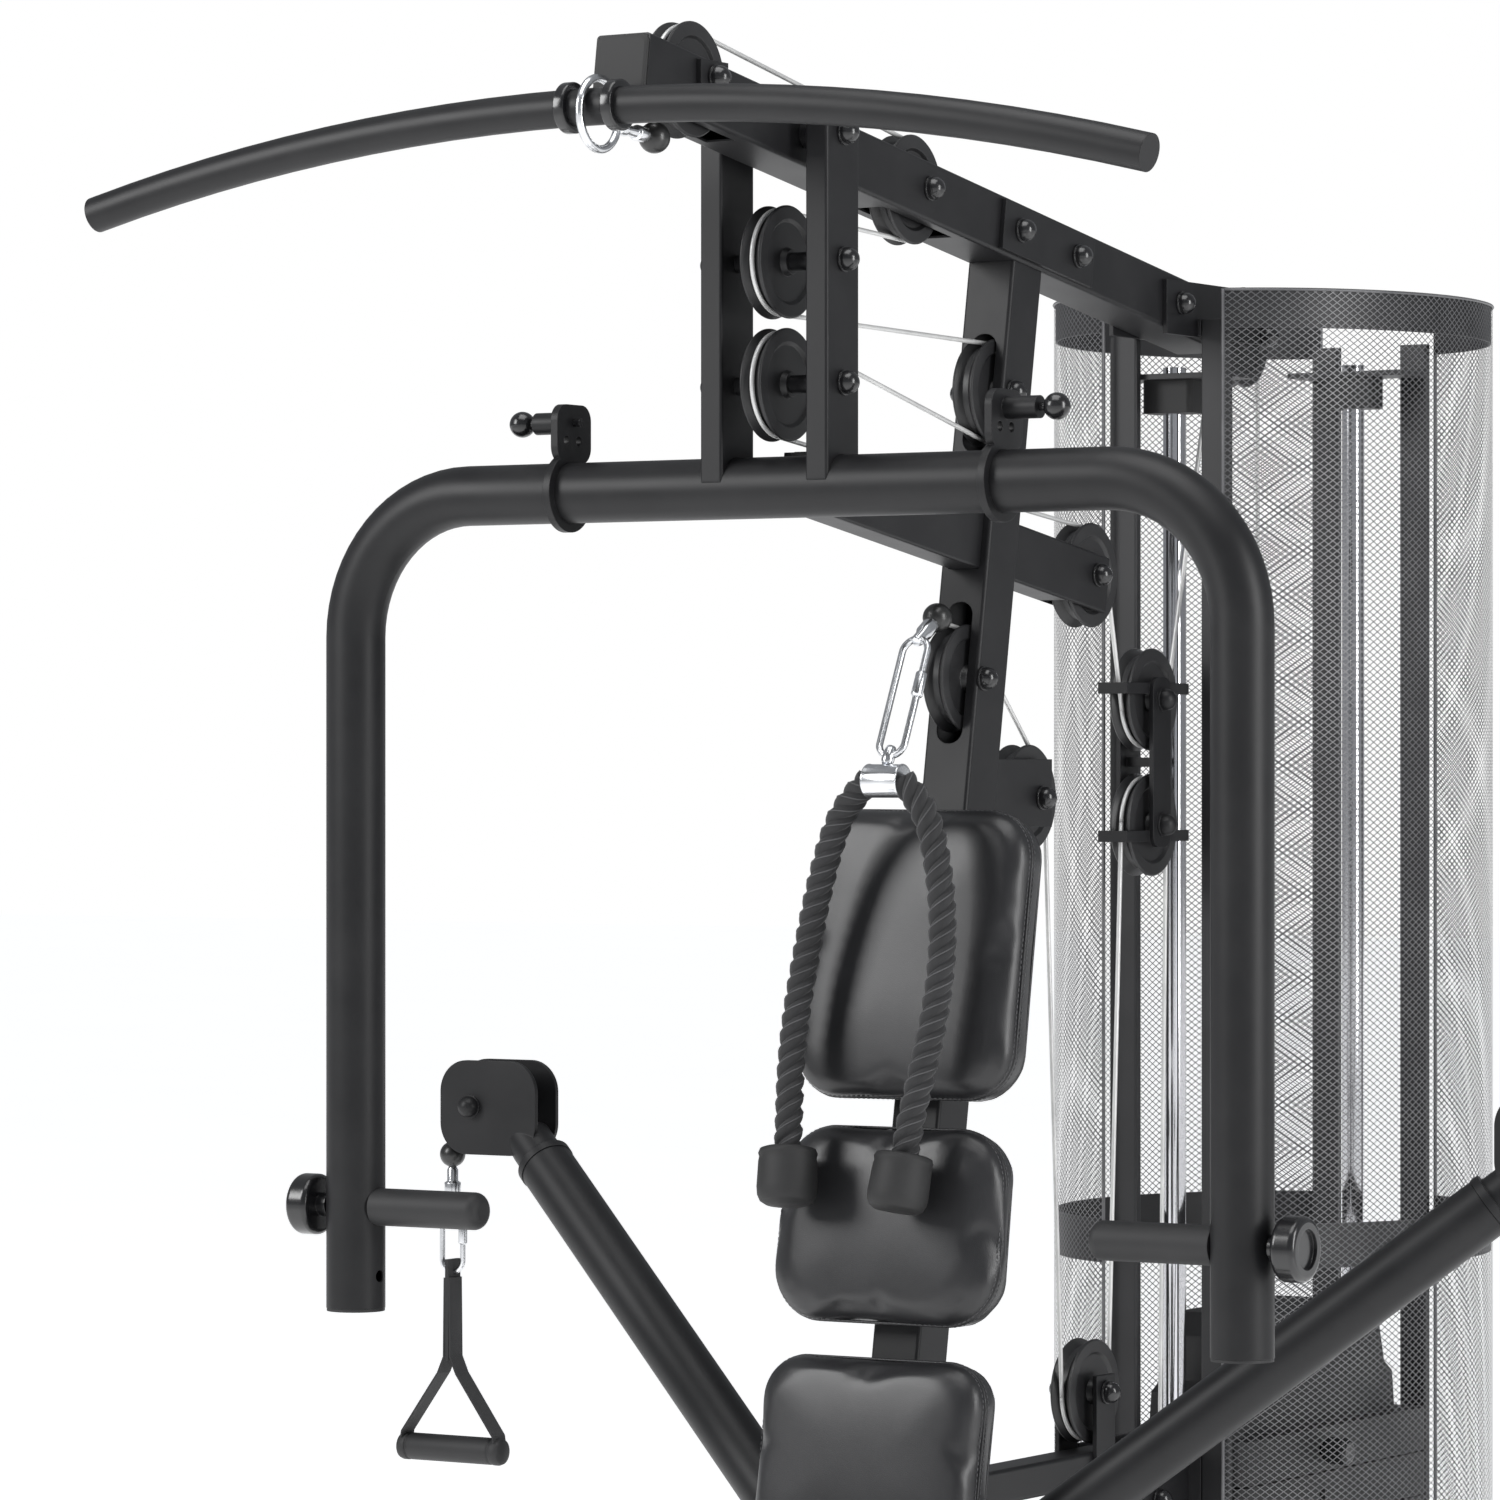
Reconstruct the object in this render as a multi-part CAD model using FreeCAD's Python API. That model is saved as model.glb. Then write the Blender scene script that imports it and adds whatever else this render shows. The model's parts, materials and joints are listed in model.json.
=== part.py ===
"""Functional trainer: leaning post, sloping boom, press arch, cable arms and a meshed weight tower.

Millimetres, +Z up, the user sits at -Y facing -Y, the weight tower stands at +Y.
The origin is on the floor, in the middle of the machine's footprint.
"""
import FreeCAD, Part
import math
import os

V = FreeCAD.Vector
os.makedirs("parts", exist_ok=True)

# ---- driving dimensions -------------------------------------------------
LEAN = 10.0                    # the post leans back by this many degrees
SLOPE = 8.6                    # the boom and the mid beam fall to the back
TAN_LEAN = math.tan(math.radians(LEAN))
TAN_SLOPE = math.tan(math.radians(SLOPE))
TUBE = 60.0                    # outer size of the main tubes
WALL = 2.5
POST_W = 55.0                  # post width across X
POST_FOOT_Y = -394.0           # where the post's middle line meets the floor plane
FOOT_H = 12.0                  # rubber feet under the base
RAIL_TOP = FOOT_H + TUBE

FEET = ((-780.0, 260.0), (823.0, 330.0), (290.0, 300.0))   # cross feet: middle Y and half length

BOOM_FRONT_Y = -780.0
BOOM_END_Y = 375.0
BOOM_Z = 1994.7                # boom middle line height at BOOM_REF_Y
BOOM_REF_Y = -396.5
BEAM_Z = 1643.0                # mid beam middle line height at BEAM_REF_Y
BEAM_REF_Y = -225.0
BEAM_FRONT_Y = -450.5
BEAM_END_Y = 130.0

ARCH_Y = -500.0                # plane of the press arch
ARCH_HALF = 505.0              # leg middle line to the machine's middle
ARCH_TOP = 1669.5
ARCH_BOTTOM = 850.0
ARCH_BEND = 140.0
ARCH_R = 30.0
HANGER_X = 60.0                # hanger middle, each side
HANGER_T = 25.0
GRIP_Z = 953.0
GRIP_R = 19.0
GRIP_LEN = 130.0
HOOK_X = 247.0

PULLEY_R = 55.0
PULLEY_W = 24.0
GROOVE_R = 47.6
CABLE_R = 2.4
WRAP_R = 50.4                  # middle line of a cable on a pulley
AXLE_R = 5.0
AXLE_FIT = 0.05                # running clearance of a pulley on its axle

UPRIGHT_X = 56.0
UPRIGHT_W = 33.0
UPRIGHT_D = 12.0
FRONT_UPRIGHT_Y = 305.0
REAR_UPRIGHT_Y = 790.0
ROD_R = 12.5
ROD_X = (-17.0, 0.0)           # the front rod stands beside the cable
ROD_Y = (345.0, 745.0)
TOWER_TOP = 1912.0
CROSS_Z = 1818.0
SHELL_A = 235.0
SHELL_B = 275.0
SHELL_Y = 547.5
SHELL_T = 2.0
SHELL_BOTTOM = 130.0

PLATE_HALF = 80.0
PLATE_Y = (320.0, 775.0)
PLATE_H = 48.0
PLATE_PITCH = 50.0
PLATE_COUNT = 8
STACK_BASE = 222.0

HUB = V(100.0, -265.0, 595.0)  # cable arm pivot, right side
ARM_END = V(556.0, -75.0, 967.0)
HEAD_AXLE = V(650.0, -62.0, 1030.0)
HEAD_PULLEY_R = 44.0
HEAD_WRAP_R = HEAD_PULLEY_R - 7.4 + 2.8
HANDLE_X = HEAD_AXLE.x + HEAD_WRAP_R

PAD_HALF = 135.0
PAD_T = 54.0
SEAT_Z = 500.0

LAT_Y = -826.0
LAT_Z = 2010.0
LAT_HALF = 578.0
LAT_DROP = 72.0
LAT_R = 17.5
HEAD_TOP_Z = STACK_BASE + PLATE_COUNT * PLATE_PITCH + 196.0

# pulley middles in the machine's middle plane, as (y, z)
def boom_z(y):
    """Height of the boom's middle line."""
    return BOOM_Z - TAN_SLOPE * (y - BOOM_REF_Y)


def beam_z(y):
    """Height of the mid beam's middle line."""
    return BEAM_Z - TAN_SLOPE * (y - BEAM_REF_Y)


def post_y(z):
    """Depth of the post's middle line."""
    return POST_FOOT_Y + TAN_LEAN * z


PIVOT = (ARCH_Y, boom_z(ARCH_Y))
PULLEYS = {
    "pulley_front": (-673.0, 2049.0),
    "pulley_boom": (-262.0, 1977.0),
    "pulley_rear": (458.0, 1871.0),
    "pulley_press_upper": (ARCH_Y, 1888.0),
    "pulley_press_lower": (ARCH_Y, 1769.0),
    "pulley_post_upper": (post_y(1782.0) - 12.0, 1782.0),
    "pulley_post_middle": (post_y(1488.0) - 20.0, 1488.0),
    "pulley_beam": (108.0, 1600.0),
    "pulley_bracket": (-25.0, 1366.0),
    "pulley_base": (113.0, 740.0),
    "pulley_low": (228.0, 615.0),
    "pulley_float_upper": (243.0, 1470.0),
    "pulley_float_lower": (243.0, 1336.0),
}

HEAD_LIFT_Y = PULLEYS["pulley_rear"][0] + WRAP_R
LAT_CABLE_Y = PULLEYS["pulley_front"][0] - WRAP_R
ROPE_BALL = V(0, -196.0, 1549.0)
ROPE_TOP = V(0, -298.0, 1386.0)


# ---- small tools --------------------------------------------------------
def box(x0, x1, y0, y1, z0, z1):
    """Axis-aligned block between two corners."""
    return Part.makeBox(x1 - x0, y1 - y0, z1 - z0, V(x0, y0, z0))


def rod(start, end, radius):
    """Round bar between two points."""
    along = end - start
    return Part.makeCylinder(radius, along.Length, start, along)


def pipe(start, end, radius, wall=WALL):
    """Round tube between two points."""
    return rod(start, end, radius).cut(rod(start, end, radius - wall))


def cross(x0, x1, y, z, radius):
    """Round bar along X."""
    return rod(V(x0, y, z), V(x1, y, z), radius)


def mirror(shape):
    """The same piece on the left side."""
    return shape.mirror(V(0, 0, 0), V(1, 0, 0))


def both(shape):
    """A right-hand piece and its mirror image."""
    return [shape, mirror(shape)]


def group(shapes):
    """Several solids kept apart in one node."""
    solids = []
    for shape in shapes:
        solids.extend(shape.Solids)
    return Part.makeCompound(solids)


def fuse(shapes):
    """One solid from touching pieces."""
    return shapes[0].multiFuse(shapes[1:]).removeSplitter()


def soften(shape, radius, direction):
    """Round the edges that run along a direction."""
    edges = []
    for edge in shape.Edges:
        if edge.Curve.TypeId != "Part::GeomLine":
            continue
        if abs(edge.tangentAt(edge.FirstParameter).dot(direction)) > 0.99:
            edges.append(edge)
    return shape.makeFillet(radius, edges)


def square_tube(half_x, height, length, wall=WALL):
    """Rectangular tube along Y from the origin, middle line on Y, with rounded corners."""
    outer = soften(box(-half_x, half_x, 0, length, -height / 2, height / 2), 4.0, V(0, 1, 0))
    inner = box(-half_x + wall, half_x - wall, 0, length, -height / 2 + wall, height / 2 - wall)
    return outer.cut(inner)


def sloped(shape, y, z):
    """Turn a piece built along Y to the boom's fall and put it in place."""
    piece = shape.copy()
    piece.rotate(V(0, 0, 0), V(1, 0, 0), -SLOPE)
    piece.translate(V(0, y, z))
    return piece


def leaned(shape):
    """Turn a piece built about an upright post to the post's lean."""
    piece = shape.copy()
    piece.rotate(V(0, 0, 0), V(1, 0, 0), -LEAN)
    piece.translate(V(0, POST_FOOT_Y, 0))
    return piece


def drill(shape, places, radius=AXLE_R + 0.2, half=120.0):
    """Cut axle holes along X."""
    return shape.cut(fuse_loose([cross(-half, half, y, z, radius) for y, z in places]))


def fuse_loose(shapes):
    """A compound of cutters."""
    return Part.makeCompound(shapes)


def bolt(y, z, half, radius=AXLE_R):
    """Axle bolt across X with a washer and a domed cap at each end, outside +-half."""
    shaft = cross(-half - 6, half + 6, y, z, radius)
    washer = cross(half, half + 2.5, y, z, 12.5)
    dome = Part.makeSphere(11.5, V(half + 5, y, z))
    keep = cross(half + 2.5, half + 18, y, z, 13.0)
    cap = dome.common(keep)
    end = fuse([washer, cap])
    return fuse([shaft, end, mirror(end)])


def pulley(y, z, radius=PULLEY_R, groove=GROOVE_R, width=PULLEY_W, bore=AXLE_R + AXLE_FIT):
    """Grooved wheel with a hub, turning about X."""
    w = width / 2
    lip = 2.5
    profile = [
        V(-w - 3, 0, bore), V(-w - 3, 0, bore + 7), V(-w + 3, 0, bore + 9),
        V(-w + 3, 0, groove - 9), V(-w, 0, groove - 6), V(-w, 0, radius - 1.5),
        V(-w + 1.5, 0, radius), V(-w + lip, 0, radius), V(-3.2, 0, groove), V(3.2, 0, groove),
        V(w - lip, 0, radius), V(w - 1.5, 0, radius), V(w, 0, radius - 1.5),
        V(w, 0, groove - 6), V(w - 3, 0, groove - 9), V(w - 3, 0, bore + 9),
        V(w + 3, 0, bore + 7), V(w + 3, 0, bore), V(-w - 3, 0, bore),
    ]
    wheel = Part.Face(Part.makePolygon(profile)).revolve(V(0, 0, 0), V(1, 0, 0), 360)
    wheel.translate(V(0, y, z))
    return wheel


def tangent(a, b, ra, rb):
    """Tangent points from circle a to circle b; a signed radius is positive when the belt turns left."""
    dy, dz = b[0] - a[0], b[1] - a[1]
    span = math.hypot(dy, dz)
    across = (ra - rb) / span
    along = math.sqrt(1 - across * across)
    ny = (dz * along + dy * across) / span
    nz = (-dy * along + dz * across) / span
    return (a[0] + ra * ny, a[1] + ra * nz), (b[0] + rb * ny, b[1] + rb * nz)


def cable(stops, x=0.0, radius=CABLE_R):
    """Tight cable through stops (y, z, signed wrap radius); radius 0 is an end point."""
    edges = []
    previous = None
    for first, second in zip(stops, stops[1:]):
        start, end = tangent(first[:2], second[:2], first[2], second[2])
        if previous is not None:
            edges.append(wrap(first, previous, start, x))
        edges.append(Part.makeLine(V(x, *start), V(x, *end)))
        previous = end
    wire = Part.Wire(edges)
    first_edge = wire.Edges[0]
    place = first_edge.valueAt(first_edge.FirstParameter)
    heading = first_edge.tangentAt(first_edge.FirstParameter)
    section = Part.Wire(Part.makeCircle(radius, place, heading))
    return wire.makePipeShell([section], True, True)


def wrap(stop, start, end, x):
    """Arc round a pulley, left turn for a positive wrap radius."""
    first = math.atan2(start[1] - stop[1], start[0] - stop[0])
    last = math.atan2(end[1] - stop[1], end[0] - stop[0])
    turn = last - first
    if stop[2] > 0:
        turn = turn % (2 * math.pi)
    else:
        turn = -((-turn) % (2 * math.pi))
    middle = first + turn / 2
    reach = abs(stop[2])
    halfway = V(x, stop[0] + reach * math.cos(middle), stop[1] + reach * math.sin(middle))
    return Part.Arc(V(x, *start), halfway, V(x, *end)).toShape()


def on(name, turn, radius=WRAP_R):
    """A cable stop on a named pulley."""
    y, z = PULLEYS[name]
    return (y, z, turn * radius)


# ---- base ---------------------------------------------------------------
def base_frame():
    """Floor rails, cross feet and the low brace from the post to the tower."""
    middle = FOOT_H + TUBE / 2
    rail = square_tube(TUBE / 2, TUBE, FEET[1][0] - FEET[0][0])
    rail.translate(V(0, FEET[0][0], middle))
    feet = []
    for y, half in FEET:
        foot = square_tube(TUBE / 2, TUBE, 2 * half)
        foot.rotate(V(0, 0, 0), V(0, 0, 1), -90)
        foot.translate(V(-half, y, middle))
        feet.append(foot)
    for y, _ in FEET:
        rail = rail.cut(box(-40, 40, y - 30, y + 30, 0, 100))
    heel = post_y(660.0) + 31.0
    brace = square_tube(20.0, 36.0, 150 - heel, 2.0)
    brace.translate(V(0, heel, 660))
    brace = brace.cut(post_space())
    return group([rail] + feet + [brace, seat_socket()])


def base_feet():
    """Rubber pads at the ends of the cross feet."""
    pads = []
    for y, half in FEET:
        pad = soften(box(half - 70, half + 4, y - 32, y + 32, 0, FOOT_H), 8.0, V(0, 0, 1))
        pads.extend(both(pad))
    return group(pads)


# ---- post and beams -----------------------------------------------------
def post_space():
    """The room the post takes, a hair larger than the post."""
    half_x, half_y = POST_W / 2 + 1, TUBE / 2
    return leaned(box(-half_x, half_x, -half_y - 0.1, half_y + 0.1, 0, 2100))


def post():
    """Leaning square tube with two pulley slots, cut to meet the rail and the boom."""
    outer = soften(box(-POST_W / 2, POST_W / 2, -TUBE / 2, TUBE / 2, -50, 2100), 4.0, V(0, 0, 1))
    inner = box(-POST_W / 2 + WALL, POST_W / 2 - WALL, -TUBE / 2 + WALL, TUBE / 2 - WALL, -60, 2110)
    tube = leaned(outer.cut(inner))
    tube = tube.cut(box(-90, 90, -900, 300, -200, RAIL_TOP))
    roof = sloped(box(-90, 90, -200, 700, -TUBE / 2, 400), BOOM_REF_Y, BOOM_Z)
    tube = tube.cut(roof)
    for name, low, high in (("pulley_post_upper", 62, 60), ("pulley_post_middle", 66, 78)):
        y, z = PULLEYS[name]
        slot = soften(box(-15, 15, y - 90, y + 110, z - low, z + high), 14.0, V(0, 1, 0))
        tube = tube.cut(slot)
    middle = post_y(BEAM_Z)
    tube = tube.cut(sloped(box(-18.2, 18.2, -120, 120, -30.2, 60), middle, beam_z(middle)))
    return drill(tube, [PULLEYS["pulley_post_upper"], PULLEYS["pulley_post_middle"]])


def boom():
    """Sloping square tube, open underneath where the pulleys sit."""
    length = (BOOM_END_Y - BOOM_FRONT_Y) / math.cos(math.radians(SLOPE))
    tube = sloped(square_tube(TUBE / 2, TUBE, length), BOOM_FRONT_Y, boom_z(BOOM_FRONT_Y))
    front = box(-16, 16, -740, -606, 1960, 2200)
    middle = box(-16, 16, -330, -194, 1850, 2100)
    tube = tube.cut(front).cut(middle)
    tube = drill(tube, [PULLEYS["pulley_front"], PULLEYS["pulley_boom"], (262.0, boom_z(262.0))])
    tube = drill(tube, [PIVOT], 8.2)
    return drill(tube, [(y, boom_z(y)) for y in (-86.0, 34.0)])


def pulley_plates():
    """Flat plates that carry pulleys and join the boom, in mirrored pairs."""
    pairs = []
    inner = TUBE / 2 + 0.2
    joint = sloped(box(inner, inner + 5, 0, 190, -26, 26), -120, boom_z(-120))
    pairs.append(drill(joint, [(y, boom_z(y)) for y in (-86.0, 34.0)]))
    y, z = PULLEYS["pulley_front"]
    cheek = box(inner, inner + 5, y - 24, y + 24, boom_z(y) - 24, z + 16)
    pairs.append(drill(cheek, [(y, z)]))
    y, z = PULLEYS["pulley_rear"]
    horn = box(inner, inner + 5, 230, y + 26, boom_z(262) - 34, boom_z(262) + 24)
    pairs.append(drill(horn, [(y, z), (262.0, boom_z(262.0))]))
    y, z = PULLEYS["pulley_bracket"]
    ear = box(20, 25, post_y(z) + 20, y + 22, z - 30, z + 40).cut(post_space())
    pairs.append(drill(ear, [(y, z)]))
    y, z = PULLEYS["pulley_base"]
    ear = box(20.2, 25.2, y - 20, y + 20, 644, z + 18)
    pairs.append(drill(ear, [(y, z)]))
    y, z = PULLEYS["pulley_low"]
    ear = box(20.2, 25.2, 136, FRONT_UPRIGHT_Y - UPRIGHT_D / 2, z - 40, z + 66)
    pairs.append(drill(ear, [(y, z)]))
    return group([piece for pair in pairs for piece in both(pair)])


def mid_beam():
    """Beam through the post: the press arch rests on its front end, a pulley hangs in its rear."""
    ratio = math.cos(math.radians(SLOPE))
    half = 18.0
    tube = soften(box(-half, half, 0, (BEAM_END_Y - BEAM_FRONT_Y) / ratio, -30, 30), 3.0, V(0, 1, 0))
    tube = tube.cut(box(-half + WALL, half - WALL, -1, 700, -27.5, 27.5))
    tube = sloped(tube, BEAM_FRONT_Y, beam_z(BEAM_FRONT_Y))
    y, z = PULLEYS["pulley_beam"]
    tube = tube.cut(box(-15.6, 15.6, y - 66, y + 80, z - 70, z + 90))
    return drill(tube, [(y, z)])


def arm_bracket():
    """Cross plate behind the post with the two pins that the cable arms turn on."""
    plate = box(-HUB.x - 26, HUB.x + 26, -212, -204, 548, 640)
    plate = soften(plate, 18.0, V(0, 1, 0))
    block = box(-24, 24, -290, -212, 560, 630).cut(post_space())
    pins = []
    for side in (-1, 1):
        x = side * HUB.x
        pins.append(rod(V(x, -212, HUB.z), V(x, -231.9, HUB.z), 26.0))
        pins.append(rod(V(x, -212, HUB.z), V(x, -293, HUB.z), 20.0))
        pins.append(rod(V(x, -292.1, HUB.z), V(x, -300, HUB.z), 26.0))
    return fuse([plate, block] + pins)


# ---- tower --------------------------------------------------------------
def tower_uprights():
    """Four pressed uprights, two in front and two behind the stack."""
    posts = []
    for y in (FRONT_UPRIGHT_Y, REAR_UPRIGHT_Y):
        strip = box(UPRIGHT_X - UPRIGHT_W / 2, UPRIGHT_X + UPRIGHT_W / 2,
                    y - UPRIGHT_D / 2, y + UPRIGHT_D / 2, RAIL_TOP, 1880)
        strip = soften(strip, 2.5, V(0, 0, 1))
        posts.extend(both(strip))
    return group(posts)


def tower_plates():
    """Cross plates that hold the guide rods, the stack's base plate and the shroud's bands."""
    span = UPRIGHT_X + UPRIGHT_W / 2
    front = box(-span, span, FRONT_UPRIGHT_Y + 6.2, ROD_Y[0] + 22, CROSS_Z, CROSS_Z + 6)
    rear = box(-span, span, ROD_Y[1] - 22, REAR_UPRIGHT_Y - 6.2, CROSS_Z + 24, CROSS_Z + 30)
    front = front.cut(rod_column(0, 1700, 1900, 0.1))
    rear = rear.cut(rod_column(1, 1700, 1900, 0.1))
    base = box(-span, span, FRONT_UPRIGHT_Y + 6.2, REAR_UPRIGHT_Y - 6.2, 110, 118)
    legs = [box(-36, 30, y - 24, y + 24, RAIL_TOP, 110) for y in ROD_Y]
    low = fuse([base] + legs)
    for index in (0, 1):
        low = low.cut(rod_column(index, 0, 200, 0.1))
    tie = box(-39.3, 39.3, FRONT_UPRIGHT_Y - 6, FRONT_UPRIGHT_Y + 6, 585, 672)
    spacers = both(box(TUBE / 2 + 5.4, UPRIGHT_X - UPRIGHT_W / 2 - 0.1, 299, 311, 1862, 1880))
    return group([front, rear, low, tie] + spacers + shroud_bands())


def shell_ring(outset, thick, z0, z1):
    """Elliptical wall between two heights, both halves."""
    ring = ellipse(SHELL_A + outset, SHELL_B + outset, z0, z1)
    return ring.cut(ellipse(SHELL_A + outset - thick, SHELL_B + outset - thick, z0, z1))


def ellipse(a, b, z0, z1):
    """Upright elliptical column, a across X and b across Y."""
    big, small, turn = (a, b, 0) if a >= b else (b, a, 90)
    curve = Part.Ellipse(V(0, 0, 0), big, small).toShape()
    column = Part.Face(Part.Wire(curve)).extrude(V(0, 0, z1 - z0))
    column.rotate(V(0, 0, 0), V(0, 0, 1), turn)
    column.translate(V(0, SHELL_Y, z0))
    return column


def shroud(side):
    """Curved sheet that covers one side of the tower, open at the front and the back."""
    edge = UPRIGHT_X + UPRIGHT_W / 2 + 0.3
    keep = box(edge, 400, 0, 1200, 0, 2000)
    wall = shell_ring(0, SHELL_T, SHELL_BOTTOM, TOWER_TOP).common(keep)
    return wall if side > 0 else mirror(wall)


def shroud_bands():
    """Stiffening bands inside the shrouds, with the tabs that reach the uprights."""
    edge = UPRIGHT_X + UPRIGHT_W / 2 + 0.3
    keep = box(edge, 400, 0, 1200, 0, 2000)
    bands = []
    for z0, z1 in ((1869.0, TOWER_TOP), (860.0, 908.0), (SHELL_BOTTOM, 172.0)):
        bands.append(shell_ring(-SHELL_T - 0.1, 2.5, z0, z1).common(keep))
    return [half for band in bands for half in both(band)]


def rod_column(index, z0, z1, extra=0.0):
    """Upright cylinder on the front (0) or rear (1) guide rod's middle line."""
    return rod(V(ROD_X[index], ROD_Y[index], z0), V(ROD_X[index], ROD_Y[index], z1), ROD_R + extra)


def guide_rods():
    """Two chromed rods that the stack slides on."""
    return group([rod_column(0, RAIL_TOP + 4, CROSS_Z + 14), rod_column(1, RAIL_TOP + 4, CROSS_Z + 38)])


def rubber_buffers():
    """Rubber stops: at the rod tops, under the stack and at the front of the mid beam."""
    pieces = []
    for index, z in ((0, CROSS_Z), (1, CROSS_Z + 24)):
        x, y = ROD_X[index], ROD_Y[index]
        block = soften(box(x - 30, x + 30, y - 20, y + 20, z - 36, z), 6.0, V(0, 0, 1))
        pieces.append(block.cut(rod_column(index, z - 40, z + 5, 0.1)))
    for index in (0, 1):
        block = rod_column(index, 118, STACK_BASE, 11.5)
        pieces.append(block.cut(rod_column(index, 100, STACK_BASE + 5, 0.1)))
    pad = sloped(box(-17, 17, -17, 0, -26, 26), BEAM_FRONT_Y, beam_z(BEAM_FRONT_Y))
    pieces.append(pad)
    return group(pieces)


# ---- weights ------------------------------------------------------------
def plate_solid(z0, height, half=PLATE_HALF):
    """One weight plate with rounded corners and holes for the rods and the stem."""
    body = soften(box(-half, half, PLATE_Y[0], PLATE_Y[1], z0, z0 + height), 14.0, V(0, 0, 1))
    for index in (0, 1):
        body = body.cut(rod_column(index, z0 - 1, z0 + height + 1, 1.0))
    return body.cut(rod(V(0, HEAD_LIFT_Y, z0 - 1), V(0, HEAD_LIFT_Y, z0 + height + 1), 14.0))


def weight_plates():
    """The plates that stay down, each with a slot for the selector pin."""
    plates = []
    for index in range(PLATE_COUNT):
        z0 = STACK_BASE + index * PLATE_PITCH
        body = plate_solid(z0, PLATE_H)
        slot = box(0, PLATE_HALF + 5, HEAD_LIFT_Y - 7, HEAD_LIFT_Y + 7, z0 + 16, z0 + 30)
        plates.append(body.cut(slot))
    return group(plates)


def weight_head():
    """Top plate with its bell-shaped yoke, the selector stem and the cable eye."""
    top = STACK_BASE + PLATE_COUNT * PLATE_PITCH
    plate = plate_solid(top, PLATE_H)
    plate = plate.cut(box(0, PLATE_HALF + 5, HEAD_LIFT_Y - 7, HEAD_LIFT_Y + 7, top + 16, top + 30))
    y0, y1 = PLATE_Y[0] + 42, PLATE_Y[1] - 42
    outline = [V(0, y0, top + PLATE_H), V(0, y1, top + PLATE_H), V(0, y1 - 6, top + 92),
               V(0, y1 - 26, top + 104), V(0, y1 - 40, top + 152), V(0, y1 - 66, top + 176),
               V(0, y0 + 66, top + 176), V(0, y0 + 40, top + 152), V(0, y0 + 26, top + 104),
               V(0, y0 + 6, top + 92), V(0, y0, top + PLATE_H)]
    bell = Part.Face(Part.makePolygon(outline)).extrude(V(2 * 58.0, 0, 0))
    bell.translate(V(-58.0, 0, 0))
    for index in (0, 1):
        bell = bell.cut(rod_column(index, top, top + 200, 1.0))
    stem = rod(V(0, HEAD_LIFT_Y, STACK_BASE + 6), V(0, HEAD_LIFT_Y, HEAD_TOP_Z), 11.0)
    for index in range(PLATE_COUNT + 1):
        z = STACK_BASE + index * PLATE_PITCH + 23
        stem = stem.cut(cross(-20, 20, HEAD_LIFT_Y, z, 5.2))
    body = fuse([plate, bell])
    body = body.cut(rod(V(0, HEAD_LIFT_Y, top), V(0, HEAD_LIFT_Y, top + 30), 14.0))
    return fuse([body, stem])


def selector_pin():
    """Pin through the top plate and the stem, with a round knob."""
    z = STACK_BASE + PLATE_COUNT * PLATE_PITCH + 23
    shaft = cross(-9.0, PLATE_HALF + 10, HEAD_LIFT_Y, z, 5.0)
    knob = cross(PLATE_HALF + 4, PLATE_HALF + 34, HEAD_LIFT_Y, z, 15.0)
    knob = knob.makeFillet(5.0, knob.Edges)
    return fuse([shaft, knob])


# ---- press arm ----------------------------------------------------------
def arch_wire(radius):
    """Middle line of the arch as one wire, from the left leg's end to the right leg's end."""
    k = ARCH_BEND * math.sqrt(0.5)
    x = ARCH_HALF
    corner = x - ARCH_BEND
    low = ARCH_TOP - ARCH_BEND
    edges = [
        Part.makeLine(V(-x, ARCH_Y, ARCH_BOTTOM), V(-x, ARCH_Y, low)),
        Part.Arc(V(-x, ARCH_Y, low), V(-corner - k, ARCH_Y, low + k), V(-corner, ARCH_Y, ARCH_TOP)).toShape(),
        Part.makeLine(V(-corner, ARCH_Y, ARCH_TOP), V(corner, ARCH_Y, ARCH_TOP)),
        Part.Arc(V(corner, ARCH_Y, ARCH_TOP), V(corner + k, ARCH_Y, low + k), V(x, ARCH_Y, low)).toShape(),
        Part.makeLine(V(x, ARCH_Y, low), V(x, ARCH_Y, ARCH_BOTTOM)),
    ]
    section = Part.Wire(Part.makeCircle(radius, V(-x, ARCH_Y, ARCH_BOTTOM), V(0, 0, 1)))
    return Part.Wire(edges).makePipeShell([section], True, True)


def press_arch():
    """Bent round tube with the grip and knob holes in its legs."""
    tube = arch_wire(ARCH_R).cut(arch_wire(ARCH_R - WALL))
    for side in (-1, 1):
        x0, x1 = sorted((side * (ARCH_HALF - 60), side * (ARCH_HALF + 60)))
        tube = tube.cut(cross(x0, x1, ARCH_Y, GRIP_Z, 6.2))
        x0, x1 = sorted((side * (ARCH_HALF - 60), side * ARCH_HALF))
        tube = tube.cut(cross(x0, x1, ARCH_Y, GRIP_Z - 70, 6.2))
    return tube


def press_hangers():
    """Two flat-sided tubes from the pivot down to the arch."""
    hangers = []
    z0, z1 = ARCH_TOP + 5, PIVOT[1] + 34
    half = HANGER_T / 2
    tube = soften(box(HANGER_X - half, HANGER_X + half, ARCH_Y - 30, ARCH_Y + 30, z0, z1), 3.0, V(0, 0, 1))
    tube = tube.cut(box(HANGER_X - half + 2, HANGER_X + half - 2, ARCH_Y - 28, ARCH_Y + 28, z0 - 1, z1 - 2))
    tube = tube.cut(cross(-20, 120, ARCH_Y, ARCH_TOP, ARCH_R + 0.1))
    places = [PULLEYS["pulley_press_upper"], PULLEYS["pulley_press_lower"]]
    tube = drill(tube, places)
    tube = drill(tube, [PIVOT], 8.05)
    return group(both(tube))


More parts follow.
